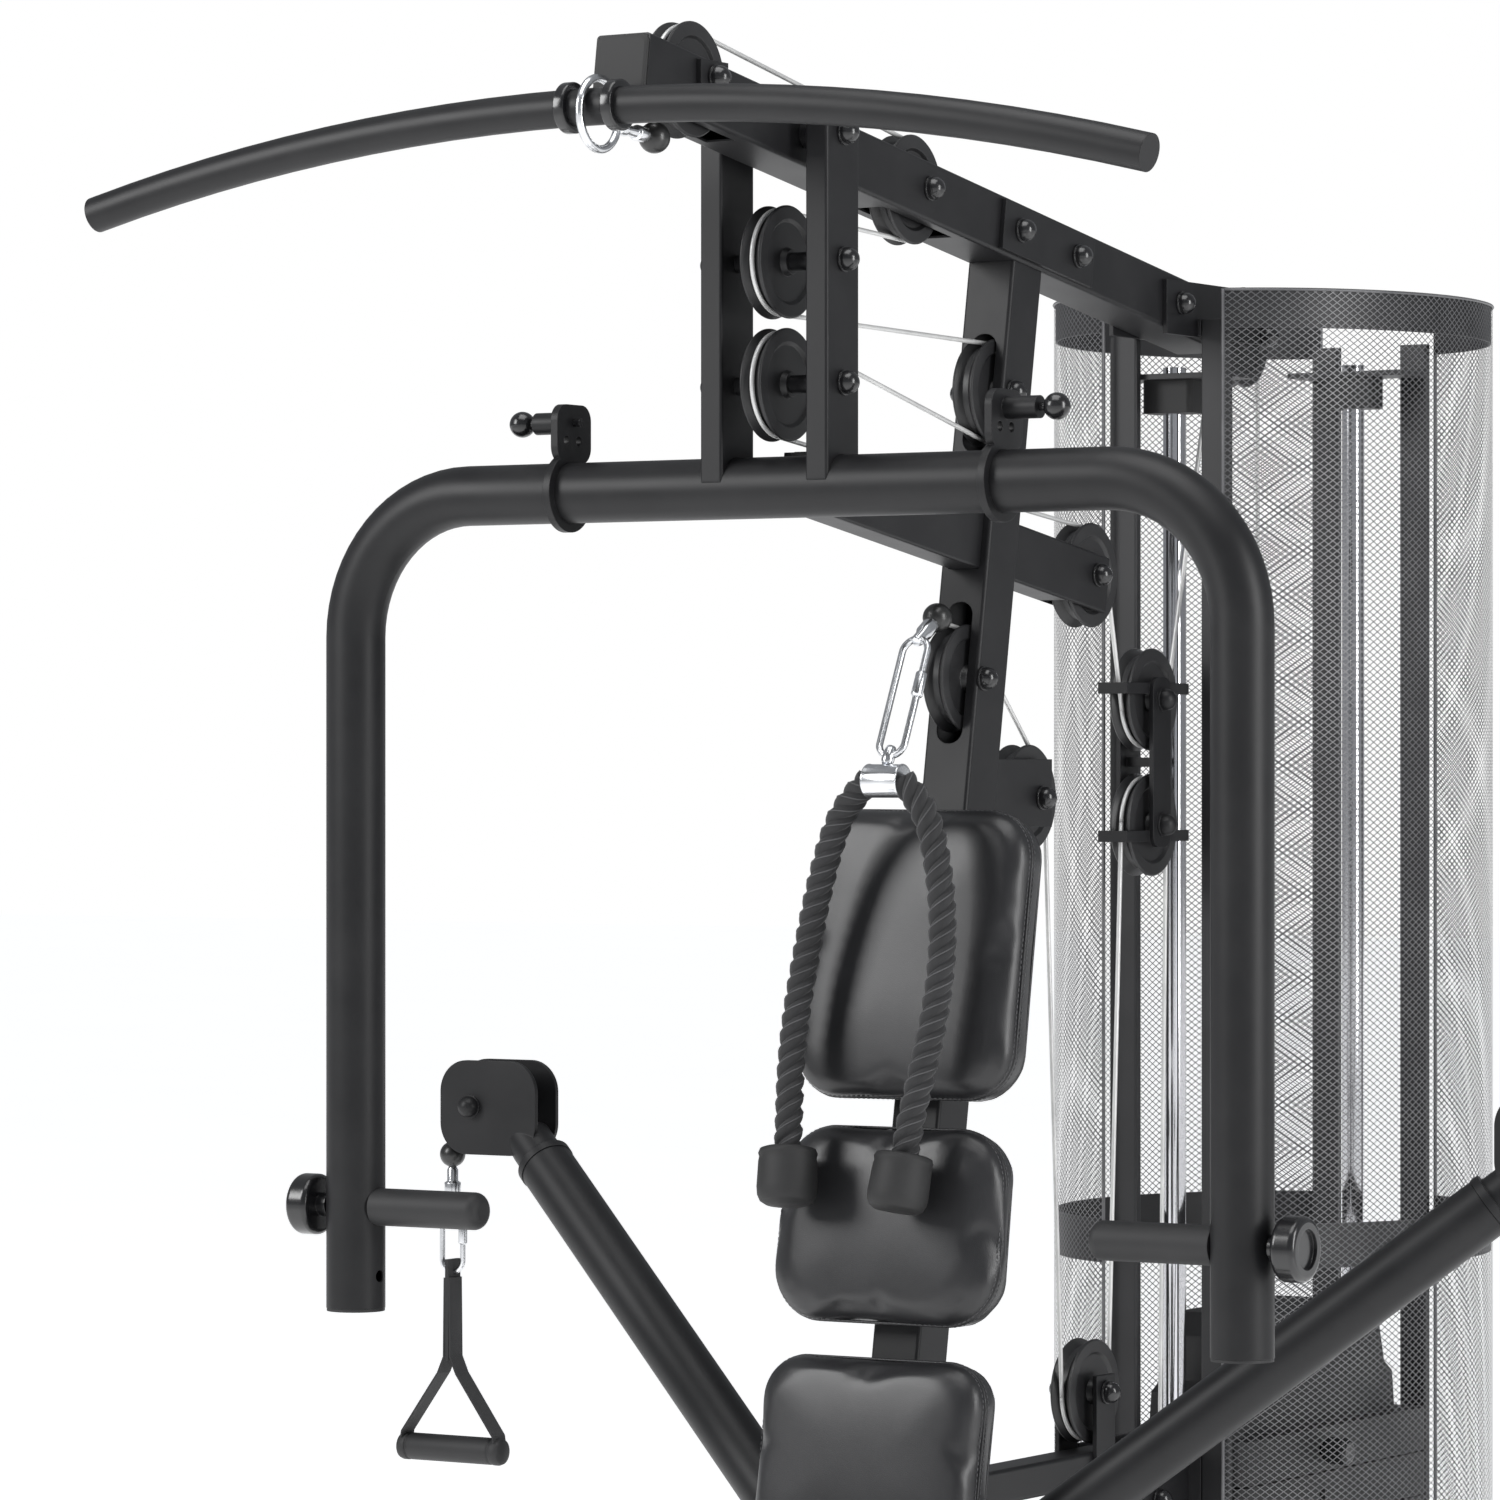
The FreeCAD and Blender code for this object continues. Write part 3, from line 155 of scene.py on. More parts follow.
def finish(name, dark, light, rough, grain=900.0, depth=0.00012, cloud=14.0, metal=0.0, coat=0.0,
           bevel=0.0012, wear=0.0, grain_kind="noise", sheen=0.0, rough_span=0.12, spec=0.5):
    """Procedural finish: clouded colour and roughness, fine grain in the bump, softened and worn edges."""
    mat, tree, shader = nodes_of(name)
    link = tree.links.new
    coord = add(tree, "TexCoord")
    cloudy = add(tree, "TexNoise", Scale=cloud, Detail=6.0, Roughness=0.6)
    link(coord.outputs["Object"], cloudy.inputs["Vector"])
    tint = add(tree, "ValToRGB")
    for element, place, shade in zip(tint.color_ramp.elements, TINT_RAMP, (dark, light)):
        element.position = place
        element.color = (*shade, 1)
    link(cloudy.outputs["Fac"], tint.inputs["Fac"])
    colour = tint.outputs["Color"]
    if grain_kind == "leather":
        fine = add(tree, "TexVoronoi", Scale=grain)
        fine.feature = "DISTANCE_TO_EDGE"
        link(coord.outputs["Object"], fine.inputs["Vector"])
        shaped = add(tree, "Math", operation="MINIMUM")
        shaped.inputs[1].default_value = LEATHER_PEBBLE
        link(fine.outputs["Distance"], shaped.inputs[0])
        wide = add(tree, "TexNoise", Scale=LEATHER_SWELL, Detail=3.0)
        link(coord.outputs["Object"], wide.inputs["Vector"])
        height = add(tree, "Math", operation="MULTIPLY_ADD")
        height.inputs[1].default_value = 0.5
        link(wide.outputs["Fac"], height.inputs[0])
        link(shaped.outputs[0], height.inputs[2])
        grain_out = height.outputs[0]
    else:
        fine = add(tree, "TexNoise", Scale=grain, Detail=4.0, Roughness=0.65)
        link(coord.outputs["Object"], fine.inputs["Vector"])
        grain_out = fine.outputs["Fac"]
    bump = add(tree, "Bump", Strength=0.6, Distance=depth)
    link(grain_out, bump.inputs["Height"])
    if bevel:
        edge = add(tree, "Bevel", Radius=bevel)
        edge.samples = 4
        link(edge.outputs["Normal"], bump.inputs["Normal"])
        if wear:
            geometry = add(tree, "NewGeometry")
            dot = add(tree, "VectorMath", operation="DOT_PRODUCT")
            link(edge.outputs["Normal"], dot.inputs[0])
            link(geometry.outputs["Normal"], dot.inputs[1])
            mask = add(tree, "MapRange")
            mask.inputs["From Min"].default_value = WORN_DOT[0]
            mask.inputs["From Max"].default_value = WORN_DOT[1]
            mask.inputs["To Max"].default_value = wear
            link(dot.outputs["Value"], mask.inputs["Value"])
            worn = add(tree, "Mix", data_type="RGBA")
            worn.inputs[MIX_B].default_value = (*(min(1, c * WORN_GAIN) for c in light), 1)
            link(mask.outputs["Result"], worn.inputs[0])
            link(colour, worn.inputs[MIX_A])
            colour = worn.outputs[MIX_COLOUR]
    link(bump.outputs["Normal"], shader.inputs["Normal"])
    link(colour, shader.inputs["Base Color"])
    spread = add(tree, "MapRange")
    spread.inputs["To Min"].default_value = rough - rough_span / 2
    spread.inputs["To Max"].default_value = rough + rough_span / 2
    link(cloudy.outputs["Fac"], spread.inputs["Value"])
    link(spread.outputs["Result"], shader.inputs["Roughness"])
    shader.inputs["Metallic"].default_value = metal
    shader.inputs["Specular IOR Level"].default_value = spec
    shader.inputs["Coat Weight"].default_value = coat
    shader.inputs["Coat Roughness"].default_value = 0.18
    shader.inputs["Sheen Weight"].default_value = sheen
    return mat


FINISHES = {  # name: dark colour, light colour, roughness, grain scale, grain depth, and what differs
    "frame_paint": ((.006, .006, .007), (.012, .012, .013), .44, 1500, .00010, dict(wear=.2, spec=.34)),
    "tower_paint": ((.010, .010, .011), (.019, .019, .021), .50, 1300, .00010, dict(wear=.2)),
    "mesh_paint": ((.075, .075, .08), (.15, .15, .155), .38, 700, .00004, dict(bevel=0, metal=.2)),
    "chrome": ((.76, .76, .79), (.88, .88, .91), .09, 300, .000006, dict(cloud=5, metal=1, rough_span=.05)),
    "zinc": ((.60, .61, .63), (.80, .81, .83), .22, 500, .00002, dict(cloud=40, metal=1)),
    "rubber": ((.010, .010, .010), (.020, .020, .021), .62, 800, .00015, dict()),
    "grip_rubber": ((.012, .012, .013), (.022, .022, .023), .58, 1100, .00022, dict()),
    "cap_plastic": ((.007, .007, .008), (.013, .013, .014), .22, 900, .00003, dict(coat=.3)),
    "pulley_plastic": ((.010, .010, .011), (.018, .018, .019), .40, 1200, .00008, dict()),
    "weight_shell": ((.007, .007, .008), (.016, .016, .017), .55, 700, .00022, dict(wear=.15)),
    "pad_leather": ((.012, .012, .013), (.022, .022, .024), .34, 620, .00035,
                    dict(cloud=9, bevel=0, grain_kind="leather", coat=.06, rough_span=.1)),
    "cable_steel": ((.50, .50, .50), (.72, .72, .71), .35, 1600, .00012, dict(bevel=0, metal=.35)),
    "rope_fibre": ((.008, .008, .009), (.020, .020, .022), .72, 1400, .0003, dict(bevel=0, sheen=.2)),
    "bright_chain": ((.62, .63, .65), (.80, .81, .83), .20, 500, .00002, dict(cloud=40, metal=1)),
    "ball_rubber": ((.008, .008, .008), (.016, .016, .016), .35, 800, .0001, dict(coat=.2)),
    "thread": ((.05, .05, .052), (.11, .11, .115), .6, 2400, .0001, dict(bevel=0)),
    "webbing": ((.008, .008, .009), (.018, .018, .02), .8, 1800, .0004, dict(bevel=0, sheen=.2)),
}
M = {name: finish(name, *values, **others) for name, (*values, others) in FINISHES.items()}
for entry in frame["record"]["subparts"]:
    node = NODES[entry["node"]]
    node.data.materials.clear()
    node.data.materials.append(M[entry["material_slot"]])


def give(obj, material, body=None):
    """Material, and the body the piece rides on."""
    obj.data.materials.clear()
    obj.data.materials.append(M[material])
    if body:
        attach(obj, body)
    return obj


# ---- the rope: two laid strands, made before the other pieces ----
ROPE_RIGHT = [(.020, -.298, 1.384), (.044, -.298, 1.360), (.058, -.299, 1.318), (.067, -.301, 1.266),
              (.070, -.305, 1.212), (.066, -.313, 1.154), (.058, -.325, 1.096), (.050, -.338, 1.040),
              (.047, -.349, .990)]
ROPE_LEFT = [(-.020, -.298, 1.384), (-.046, -.298, 1.362), (-.064, -.299, 1.322), (-.078, -.301, 1.270),
             (-.088, -.305, 1.214), (-.095, -.313, 1.156), (-.095, -.325, 1.098), (-.089, -.338, 1.042),
             (-.084, -.349, .992)]
ROPE_R = 0.014
ROPE_STEP = 0.0022             # distance between the rope's cross sections
ROPE_SIDES = 36
LOBES = 3                      # yarns laid round each other
LAY = 0.052                    # length of one full turn of the lay
GROOVE, SWELL = 0.74, 0.27     # the section's radius in the groove, and what a yarn adds, in rope radii
THREAD_R = 0.00075             # pale tracer on each yarn
THREAD_ANGLE = 0.30            # from the yarn's crest


def route(points, name):
    """Smooth line through a rope's route, as a list of points."""
    curve = bpy.data.curves.new(name, "CURVE")
    curve.dimensions = "3D"
    curve.resolution_u = 24
    spline = curve.splines.new("NURBS")
    spline.points.add(len(points) - 1)
    for target, place in zip(spline.points, points):
        target.co = (*place, 1)
    spline.order_u = 3
    spline.use_endpoint_u = True
    holder = bpy.data.objects.new(name, curve)
    SCENE.collection.objects.link(holder)
    mesh = bpy.data.meshes.new_from_object(holder)
    line = [Vector(v.co) for v in mesh.vertices]
    bpy.data.objects.remove(holder)
    bpy.data.meshes.remove(mesh)
    return line


def arc_length(line):
    """Length of a line of points."""
    return sum((b - a).length for a, b in zip(line, line[1:]))


def resample(line, step):
    """Points at even steps along a line."""
    total = arc_length(line)
    count = max(2, round(total / step))
    marks = [total * i / count for i in range(count + 1)]
    out, walked, index = [], 0.0, 0
    for mark in marks:
        while index < len(line) - 2 and walked + (line[index + 1] - line[index]).length < mark:
            walked += (line[index + 1] - line[index]).length
            index += 1
        span = (line[index + 1] - line[index]).length
        out.append(line[index].lerp(line[index + 1], min(1.0, (mark - walked) / span)))
    return out


def frames_along(line):
    """Tangent and two cross directions at each point, without twist."""
    out = []
    side = None
    for i, place in enumerate(line):
        ahead = line[min(i + 1, len(line) - 1)] - line[max(i - 1, 0)]
        ahead.normalize()
        if side is None:
            side = ahead.cross(Vector((0, 0, 1)) if abs(ahead.z) < .9 else Vector((0, 1, 0)))
        side = (side - ahead * side.dot(ahead)).normalized()
        out.append((place, ahead, side, ahead.cross(side)))
    return out


def sweep(name, line, section, closed_ends=True, turn=None):
    """Tube along a line; section gives (radius, angle) pairs, turned along the line by turn(distance)."""
    verts, faces = [], []
    count = len(section)
    walked = 0.0
    rows = frames_along(line)
    for i, (place, _, side, up) in enumerate(rows):
        if i:
            walked += (line[i] - line[i - 1]).length
        shift = turn(walked) if turn else 0.0
        for radius, angle in section:
            a = angle + shift
            verts.append(place + side * (radius * math.cos(a)) + up * (radius * math.sin(a)))
    for i in range(len(rows) - 1):
        for k in range(count):
            a, b = i * count + k, i * count + (k + 1) % count
            faces.append((a, a + count, b + count, b))
    if closed_ends:
        faces.append(tuple(range(count)))
        faces.append(tuple(range(len(verts) - 1, len(verts) - 1 - count, -1)))
    return link_mesh(name, verts, faces)


def circle(radius, count):
    """Round section for sweep."""
    return [(radius, 2 * math.pi * k / count) for k in range(count)]


def tube(name, points, radius, material, body, sides):
    """Round bar through the points."""
    obj = sweep(name, [Vector(p) for p in points], circle(radius, sides))
    return give(obj, material, body)


def rope_radius(angle):
    """Radius of the laid section, fullest on each yarn's crest."""
    return ROPE_R * (GROOVE + SWELL * abs(math.cos(LOBES * angle / 2)) ** 0.75)


def rope_strand(name, points):
    """One laid strand with a tracer thread on each yarn."""
    line = resample(route(points, name + "_route"), ROPE_STEP)
    angles = [2 * math.pi * k / ROPE_SIDES for k in range(ROPE_SIDES)]
    section = [(rope_radius(angle), angle) for angle in angles]
    rope = sweep(name, line, section, turn=lambda s: 2 * math.pi * s / LAY)
    give(rope, "rope_fibre", "rope_handle")
    threads = []
    r = rope_radius(THREAD_ANGLE)
    for lobe in range(LOBES):
        way = []
        walked = 0.0
        for i, (place, _, side, up) in enumerate(frames_along(line)):
            if i:
                walked += (line[i] - line[i - 1]).length
            a = 2 * math.pi * (walked / LAY + lobe / LOBES) + THREAD_ANGLE
            way.append(place + side * (r * math.cos(a)) + up * (r * math.sin(a)))
        threads.append(sweep("%s_thread_%d" % (name, lobe), way, circle(THREAD_R, 5)))
    for thread in threads:
        give(thread, "thread", "rope_handle")
    return rope, line, threads


ROPES = []
for word, points in (("rope_right", ROPE_RIGHT), ("rope_left", ROPE_LEFT)):
    rope, line, threads = rope_strand(word, points)
    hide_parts("triceps_rope")
    ROPES.append(line)


# ---- steel cables, split where they change body ----
WRAP = 0.0504                  # radius of the cable's middle line round a pulley
CABLE = 0.0024                 # radius of the cable
ARC_STEP, RUN_STEP = 0.12, 0.02  # radians round a pulley and metres along a straight run
WHEEL = {}                     # middle of each pulley, as (y, z)
for name in NODES:
    if name.startswith("pulley_") and name != "pulley_plates":
        low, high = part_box(name)
        WHEEL[name] = ((low[1] + high[1]) / 2, (low[2] + high[2]) / 2)


def tangent(a, b, ra, rb):
    """Ends of the line from one circle to the next, where a negative radius is the other way round."""
    dy, dz = b[0] - a[0], b[1] - a[1]
    span = math.hypot(dy, dz)
    across = (ra - rb) / span
    along = math.sqrt(1 - across * across)
    ny = (dz * along + dy * across) / span
    nz = (-dy * along + dz * across) / span
    return (a[0] + ra * ny, a[1] + ra * nz), (b[0] + rb * ny, b[1] + rb * nz)


def strung(stops):
    """Straight runs and arcs of a tight cable, each a list of points."""
    pieces = []
    previous = None
    for first, second in zip(stops, stops[1:]):
        start, end = tangent(first[:2], second[:2], first[2], second[2])
        if previous is not None:
            a0 = math.atan2(previous[1] - first[1], previous[0] - first[0])
            a1 = math.atan2(start[1] - first[1], start[0] - first[0])
            swing = (a1 - a0) % (2 * math.pi) if first[2] > 0 else -((a0 - a1) % (2 * math.pi))
            steps = max(6, int(abs(swing) / ARC_STEP))
            reach = abs(first[2])
            pieces.append([Vector((0, first[0] + reach * math.cos(a0 + swing * i / steps),
                                   first[1] + reach * math.sin(a0 + swing * i / steps)))
                           for i in range(steps + 1)])
        count = max(8, int(math.dist(start, end) / RUN_STEP))
        pieces.append([Vector((0, start[0] + (end[0] - start[0]) * i / count,
                               start[1] + (end[1] - start[1]) * i / count)) for i in range(count + 1)])
        previous = end
    return pieces


def stop(name, turn):
    """A pulley on the cable's way, turned by the cable one way (1) or the other (-1)."""
    return (*WHEEL[name], turn * WRAP)


# each stop is (y, z, signed radius); the first and the last are where the cable leaves its ball or its bolt
head_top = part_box("weight_head")[1][2]
rear_y = WHEEL["pulley_rear"][0] + WRAP
front_y = WHEEL["pulley_front"][0] - WRAP
upper = strung([(front_y, 2.0055, 0), stop("pulley_front", -1), stop("pulley_boom", -1),
                stop("pulley_press_upper", 1), stop("pulley_post_upper", -1), stop("pulley_press_lower", 1),
                stop("pulley_beam", -1), stop("pulley_float_upper", 1), stop("pulley_rear", -1),
                (rear_y, head_top + .0003, 0)])
lower = strung([(-.1815, 1.5438, 0), stop("pulley_post_middle", -1), stop("pulley_bracket", -1),
                stop("pulley_base", 1), stop("pulley_float_lower", -1), stop("pulley_low", -1),
                (-.2035, .566, 0)])
# the body each piece rides, or the pair it joins; "lift" is the run that shortens as the stack rises
F, P, L, B, R = "machine_frame", "press_arm", "lat_handle", "floating_block", "rope_handle"
UPPER_BODIES = [(L, F), F, F, F, (F, P), P, (P, F), F, (F, P), P, (P, F), F, (F, B), B, (B, F), F, "lift"]
LOWER_BODIES = [(R, F), F, F, F, F, F, (F, B), B, (B, F), F, F]


def string_up(label, pieces, bodies, node):
    """One mesh for each piece of a cable, in place of the CAD cable."""
    first = None
    for index, (points, body) in enumerate(zip(pieces, bodies)):
        obj = sweep("%s_%02d" % (label, index), points, circle(CABLE, 12))
        give(obj, "cable_steel")
        if body == "lift":
            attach(obj, F)
            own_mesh(obj)
        elif isinstance(body, tuple):
            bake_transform(obj)
        else:
            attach(obj, body)
            if first is None:
                first = obj
    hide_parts(node)


string_up("cable_upper", upper, UPPER_BODIES, "cable_upper")
string_up("cable_lower", lower, LOWER_BODIES, "cable_lower")


# ---- perforated shroud sheets ----
SHELL_A, SHELL_B, SHELL_Y = .2345, .2745, .5475  # half width, half depth and middle of the oval
DIAMOND_W, DIAMOND_H = .0100, .0072
WEB = 0.18                     # share of the sheet left between the diamonds
RIM_R, HEM_R = .0022, .0016


def shroud(side, word):
    """Expanded metal: a curved sheet of small diamonds with a rim."""
    low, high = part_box("shroud_" + word)
    edge = min(abs(low[0]), abs(high[0]))
    stop_at = math.acos(edge / SHELL_A)
    fine = np.linspace(-stop_at, stop_at, 900)
    px, py = SHELL_A * np.cos(fine), SHELL_Y + SHELL_B * np.sin(fine)
    length = np.concatenate([[0], np.cumsum(np.hypot(np.diff(px), np.diff(py)))])
    total, tall = length[-1], high[2] - low[2] - .002
    cols, rows = int(total / DIAMOND_W), int(tall / DIAMOND_H)
    w, h = total / cols, tall / rows

    def place(u, v):
        u = np.clip(u, 0, total)
        v = np.clip(v, 0, tall)
        x, y = np.interp(u, length, px), np.interp(u, length, py)
        return np.stack([side * x, y, low[2] + .001 + v], -1)

    centres = []
    for r in range(2 * rows + 1):
        shift = 0.5 * (r % 2)
        for c in range(cols + 1 - (r % 2)):
            centres.append((c + shift, r / 2))
    centres = np.array(centres)
    number = {(round(2 * a), round(2 * b)): i for i, (a, b) in enumerate(centres)}
    hw, hh = w / 2 * (1 - WEB), h / 2 * (1 - WEB)
    cu, cv = centres[:, 0] * w, centres[:, 1] * h
    corners = [place(cu + hw, cv), place(cu, cv + hh), place(cu - hw, cv), place(cu, cv - hh)]
    verts = np.stack(corners, 1).reshape(-1, 3)
    faces = []
    for (a, b), i in number.items():
        up_right, down_right = number.get((a + 1, b + 1)), number.get((a + 1, b - 1))
        right, top = number.get((a + 2, b)), number.get((a, b + 2))
        if up_right is not None:
            faces.append((4 * i, 4 * up_right + 3, 4 * up_right + 2, 4 * i + 1))
        if down_right is not None:
            faces.append((4 * i + 3, 4 * down_right + 2, 4 * down_right + 1, 4 * i))
        if right is not None and up_right is not None and down_right is not None:
            faces.append((4 * i, 4 * down_right + 1, 4 * right + 2, 4 * up_right + 3))
    sheet = link_mesh("mesh_sheet_" + word, verts, faces, smooth=False)
    give(sheet, "mesh_paint", "machine_frame")
    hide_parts("shroud_" + word)
    for end, name in ((-stop_at, "front"), (stop_at, "rear")):
        x, y = SHELL_A * math.cos(end), SHELL_Y + SHELL_B * math.sin(end)
        post = [(side * x, y, z) for z in (low[2] + .001, (low[2] + high[2]) / 2, high[2] - .001)]
        tube("mesh_rim_%s_%s" % (name, word), post, RIM_R, "mesh_paint", "machine_frame", 6)
    for z, name in ((low[2] + .002, "low"), (high[2] - .002, "top")):
        bend = [(side * a, b, z) for a, b in zip(px[::14], py[::14])]
        tube("mesh_hem_%s_%s" % (name, word), bend, HEM_R, "mesh_paint", "machine_frame", 6)


shroud(1, "right")
shroud(-1, "left")


# ---- padded pieces ----
CORNER_STEPS = 18
CROWN_STEPS, SHOULDER_STEPS = 13, 8
EDGE = .004                    # how far the pad's rim stands inside its outline
SHOULDER = .020                # radius of its front edge
SWELL_LIMIT = .006             # the cloth's pressure moves no point further than this
SWELL_FRAMES = 20
BACK_RINGS = ((.0045, -.012), (.0060, -.003), (.010, -.0005))  # (inset, y) where the side turns to the back
SEAMS = ((.0016, -.0006), (.0019, -.0004))  # (radius, lift off the surface) of the middle and the rear piping
STITCH_GAP, STITCH_STEP, STITCH_SHARE, STITCH_R = .0042, .0056, .66, .00055
STITCH_SECTIONS = ((0, .45), (.25, 1), (.75, 1), (1, .45))  # (share of the stitch, share of its radius)
STITCH_SIDES = 6


def outline(half_x, half_z, corner, inset, count=CORNER_STEPS):
    """Rounded rectangle, inset evenly, as (x, z) pairs."""
    hx, hz = half_x - inset, half_z - inset
    r = max(corner - inset, min(hx, hz) * 0.25)
    r = min(r, hx - .0005, hz - .0005)
    out = []
    for cx, cz, start in ((1, 1, 0), (-1, 1, 90), (-1, -1, 180), (1, -1, 270)):
        for k in range(count):
            a = math.radians(start + 90 * k / (count - 1))
            out.append((cx * (hx - r) + r * math.cos(a), cz * (hz - r) + r * math.sin(a)))
    return out


def pad_blank(name, half_x, half_z, thick, corner, crown):
    """Closed crowned pad before the cloth run: front face at -Y, flat back at Y 0."""
    rings = []
    top = thick - SWELL_LIMIT * .6
    deep = min(half_x, half_z) - EDGE
    for k in range(CROWN_STEPS + 1):
        inset = SHOULDER + (deep - SHOULDER) * (1 - k / CROWN_STEPS)
        share = (inset - SHOULDER) / (deep - SHOULDER)
        rings.append((inset, -top + crown * (1 - share) ** 2.2))
    for k in range(1, SHOULDER_STEPS + 1):
        a = math.radians(90 * k / SHOULDER_STEPS)
        inset = EDGE + (SHOULDER - EDGE) * (1 - math.sin(a))
        rings.append((inset, -top + crown + SHOULDER * (1 - math.cos(a))))
    rings += BACK_RINGS
    verts, faces = [], []
    for inset, y in rings:
        verts += [(x, y, z) for x, z in outline(half_x, half_z, corner, inset)]
    count = len(verts) // len(rings)
    for i in range(len(rings) - 1):
        for k in range(count):
            a, b = i * count + k, i * count + (k + 1) % count
            faces.append((a, b, b + count, a + count))
    faces.append(tuple(range(count - 1, -1, -1)))
    faces.append(tuple(range((len(rings) - 1) * count, len(rings) * count)))
    pad = link_mesh(name, verts, faces)
    bm = bmesh.new()
    bm.from_mesh(pad.data)
    bmesh.ops.remove_doubles(bm, verts=bm.verts, dist=.0004)
    bmesh.ops.recalc_face_normals(bm, faces=bm.faces)
    bm.to_mesh(pad.data)
    bm.free()
    return pad


def apply(obj, kind, **values):
    """Add one modifier and keep its result as the object's mesh."""
    mod = obj.modifiers.new(kind, kind)
    for key, value in values.items():
        setattr(mod, key, value)
    bpy.context.view_layer.update()
    graph = bpy.context.evaluated_depsgraph_get()
    done = bpy.data.meshes.new_from_object(obj.evaluated_get(graph))
    obj.modifiers.clear()
    obj.data = done


def swell(pad, half_x, half_z):
    """Blow the pad up as cloth, by no more than SWELL_LIMIT, and keep it inside its outline."""
    start = np.array([v.co for v in pad.data.vertices])
    mod = pad.modifiers.new("cloth", "CLOTH")
    cloth = mod.settings
    cloth.quality = 5
    cloth.mass = .3
    cloth.use_pressure = True
    cloth.uniform_pressure_force = 4.0
    cloth.tension_stiffness = cloth.compression_stiffness = 18
    cloth.bending_stiffness = 2.0
    cloth.effector_weights.gravity = 0.0
    SCENE.frame_start, SCENE.frame_end = 1, SWELL_FRAMES
    mod.point_cache.frame_start, mod.point_cache.frame_end = 1, SWELL_FRAMES
    for step in range(1, SWELL_FRAMES + 1):
        SCENE.frame_set(step)
    graph = bpy.context.evaluated_depsgraph_get()
    swelled = bpy.data.meshes.new_from_object(pad.evaluated_get(graph))
    end = np.array([v.co for v in swelled.vertices])
    move = end - start
    size = np.linalg.norm(move, axis=1, keepdims=True)
    move *= np.minimum(1.0, SWELL_LIMIT / np.maximum(size, 1e-9))
    end = start + move
    pad.modifiers.clear()
    SCENE.frame_set(1)
    end[:, 1] = np.minimum(end[:, 1], -.0004)
    end[:, 0] = np.clip(end[:, 0], -half_x, half_x)
    end[:, 2] = np.clip(end[:, 2], -half_z, half_z)
    pad.data.vertices.foreach_set("co", end.astype(np.float32).ravel())
    pad.data.update()


def cushion(name, half_x, half_z, thick, corner, matrix, crown, node, body):
    """Pad swelled by a cloth run, with two lines of piping, and stitches on both sides of the middle one."""
    pad = pad_blank(name, half_x, half_z, thick, corner, crown)
    apply(pad, "REMESH", mode="VOXEL", voxel_size=.005)
    swell(pad, half_x, half_z)
    apply(pad, "SMOOTH", factor=.5, iterations=6)
    apply(pad, "SUBSURF", levels=1, render_levels=1)
    pad.data.shade_smooth()
    bm = bmesh.new()
    bm.from_mesh(pad.data)
    tree = BVHTree.FromBMesh(bm)
    bm.free()

    def on_side(y, lift, dense):
        """Closed line round the swelled side at one depth."""
        line = []
        for x, z in outline(half_x, half_z, corner, 0, CORNER_STEPS * dense):
            cx = max(-half_x + corner, min(half_x - corner, x))
            cz = max(-half_z + corner, min(half_z - corner, z))
            away = Vector((x - cx, 0, z - cz))
            if away.length < 1e-6:
                continue
            away.normalize()
            hit, normal, _, _ = tree.ray_cast(Vector((x, y, z)) + away * .03, -away, .08)
            if hit is not None:
                point = hit + away * lift
                if not line or (point - line[-1]).length > .0008:
                    line.append(point)
        line.append(line[0].copy())
        return line

    made = []
    mid = -thick * .52
    for y, (r, lift) in zip((mid, -.006), SEAMS):
        line = resample(on_side(y, lift, 2), .004)
        made.append(sweep(name + "_seam_%d" % len(made), line, circle(r, 8), closed_ends=False))
    dashes_v, dashes_f = [], []
    up = Vector((0, 1, 0))
    sides = STITCH_SIDES
    for y in (mid - STITCH_GAP, mid + STITCH_GAP):
        line = resample(on_side(y, .0001, 3), STITCH_STEP)
        for a, following in zip(line, line[1:]):
            b = a.lerp(following, STITCH_SHARE)
            along = (b - a).normalized()
            away = along.cross(up).normalized()
            base = len(dashes_v)
            for share, scale in STITCH_SECTIONS:
                place = a.lerp(b, share)
                for k in range(sides):
                    angle = 2 * math.pi * k / sides
                    out = away * math.cos(angle) + up * math.sin(angle)
                    dashes_v.append(place + out * STITCH_R * scale)
            last = len(dashes_v) - sides
            for j in range(base, last, sides):
                for k in range(sides):
                    p, q = j + k, j + (k + 1) % sides
                    dashes_f.append((p, q, q + sides, p + sides))
            dashes_f.append(tuple(base + k for k in range(sides - 1, -1, -1)))
            dashes_f.append(tuple(last + k for k in range(sides)))
    made.append(link_mesh(name + "_stitches", dashes_v, dashes_f))
    for obj in [pad] + made:
        obj.data.transform(matrix)
        give(obj, "thread" if obj.name.endswith("stitches") else "pad_leather", body)
    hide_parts(node)


LEAN = math.radians(10)        # of the post
TUBE = .060                    # the post's depth
POST_FOOT = -.394              # where the post's middle line meets the floor
PAD_HALF, PAD_THICK = .135, .0535


def leaned(z0, z1):
    """From a pad's own frame to its place on the leaning post."""
    own = Matrix.Translation((0, -TUBE / 2 - .0006, (z0 + z1) / 2))
    return Matrix.Translation((0, POST_FOOT, 0)) @ Matrix.Rotation(-LEAN, 4, "X") @ own


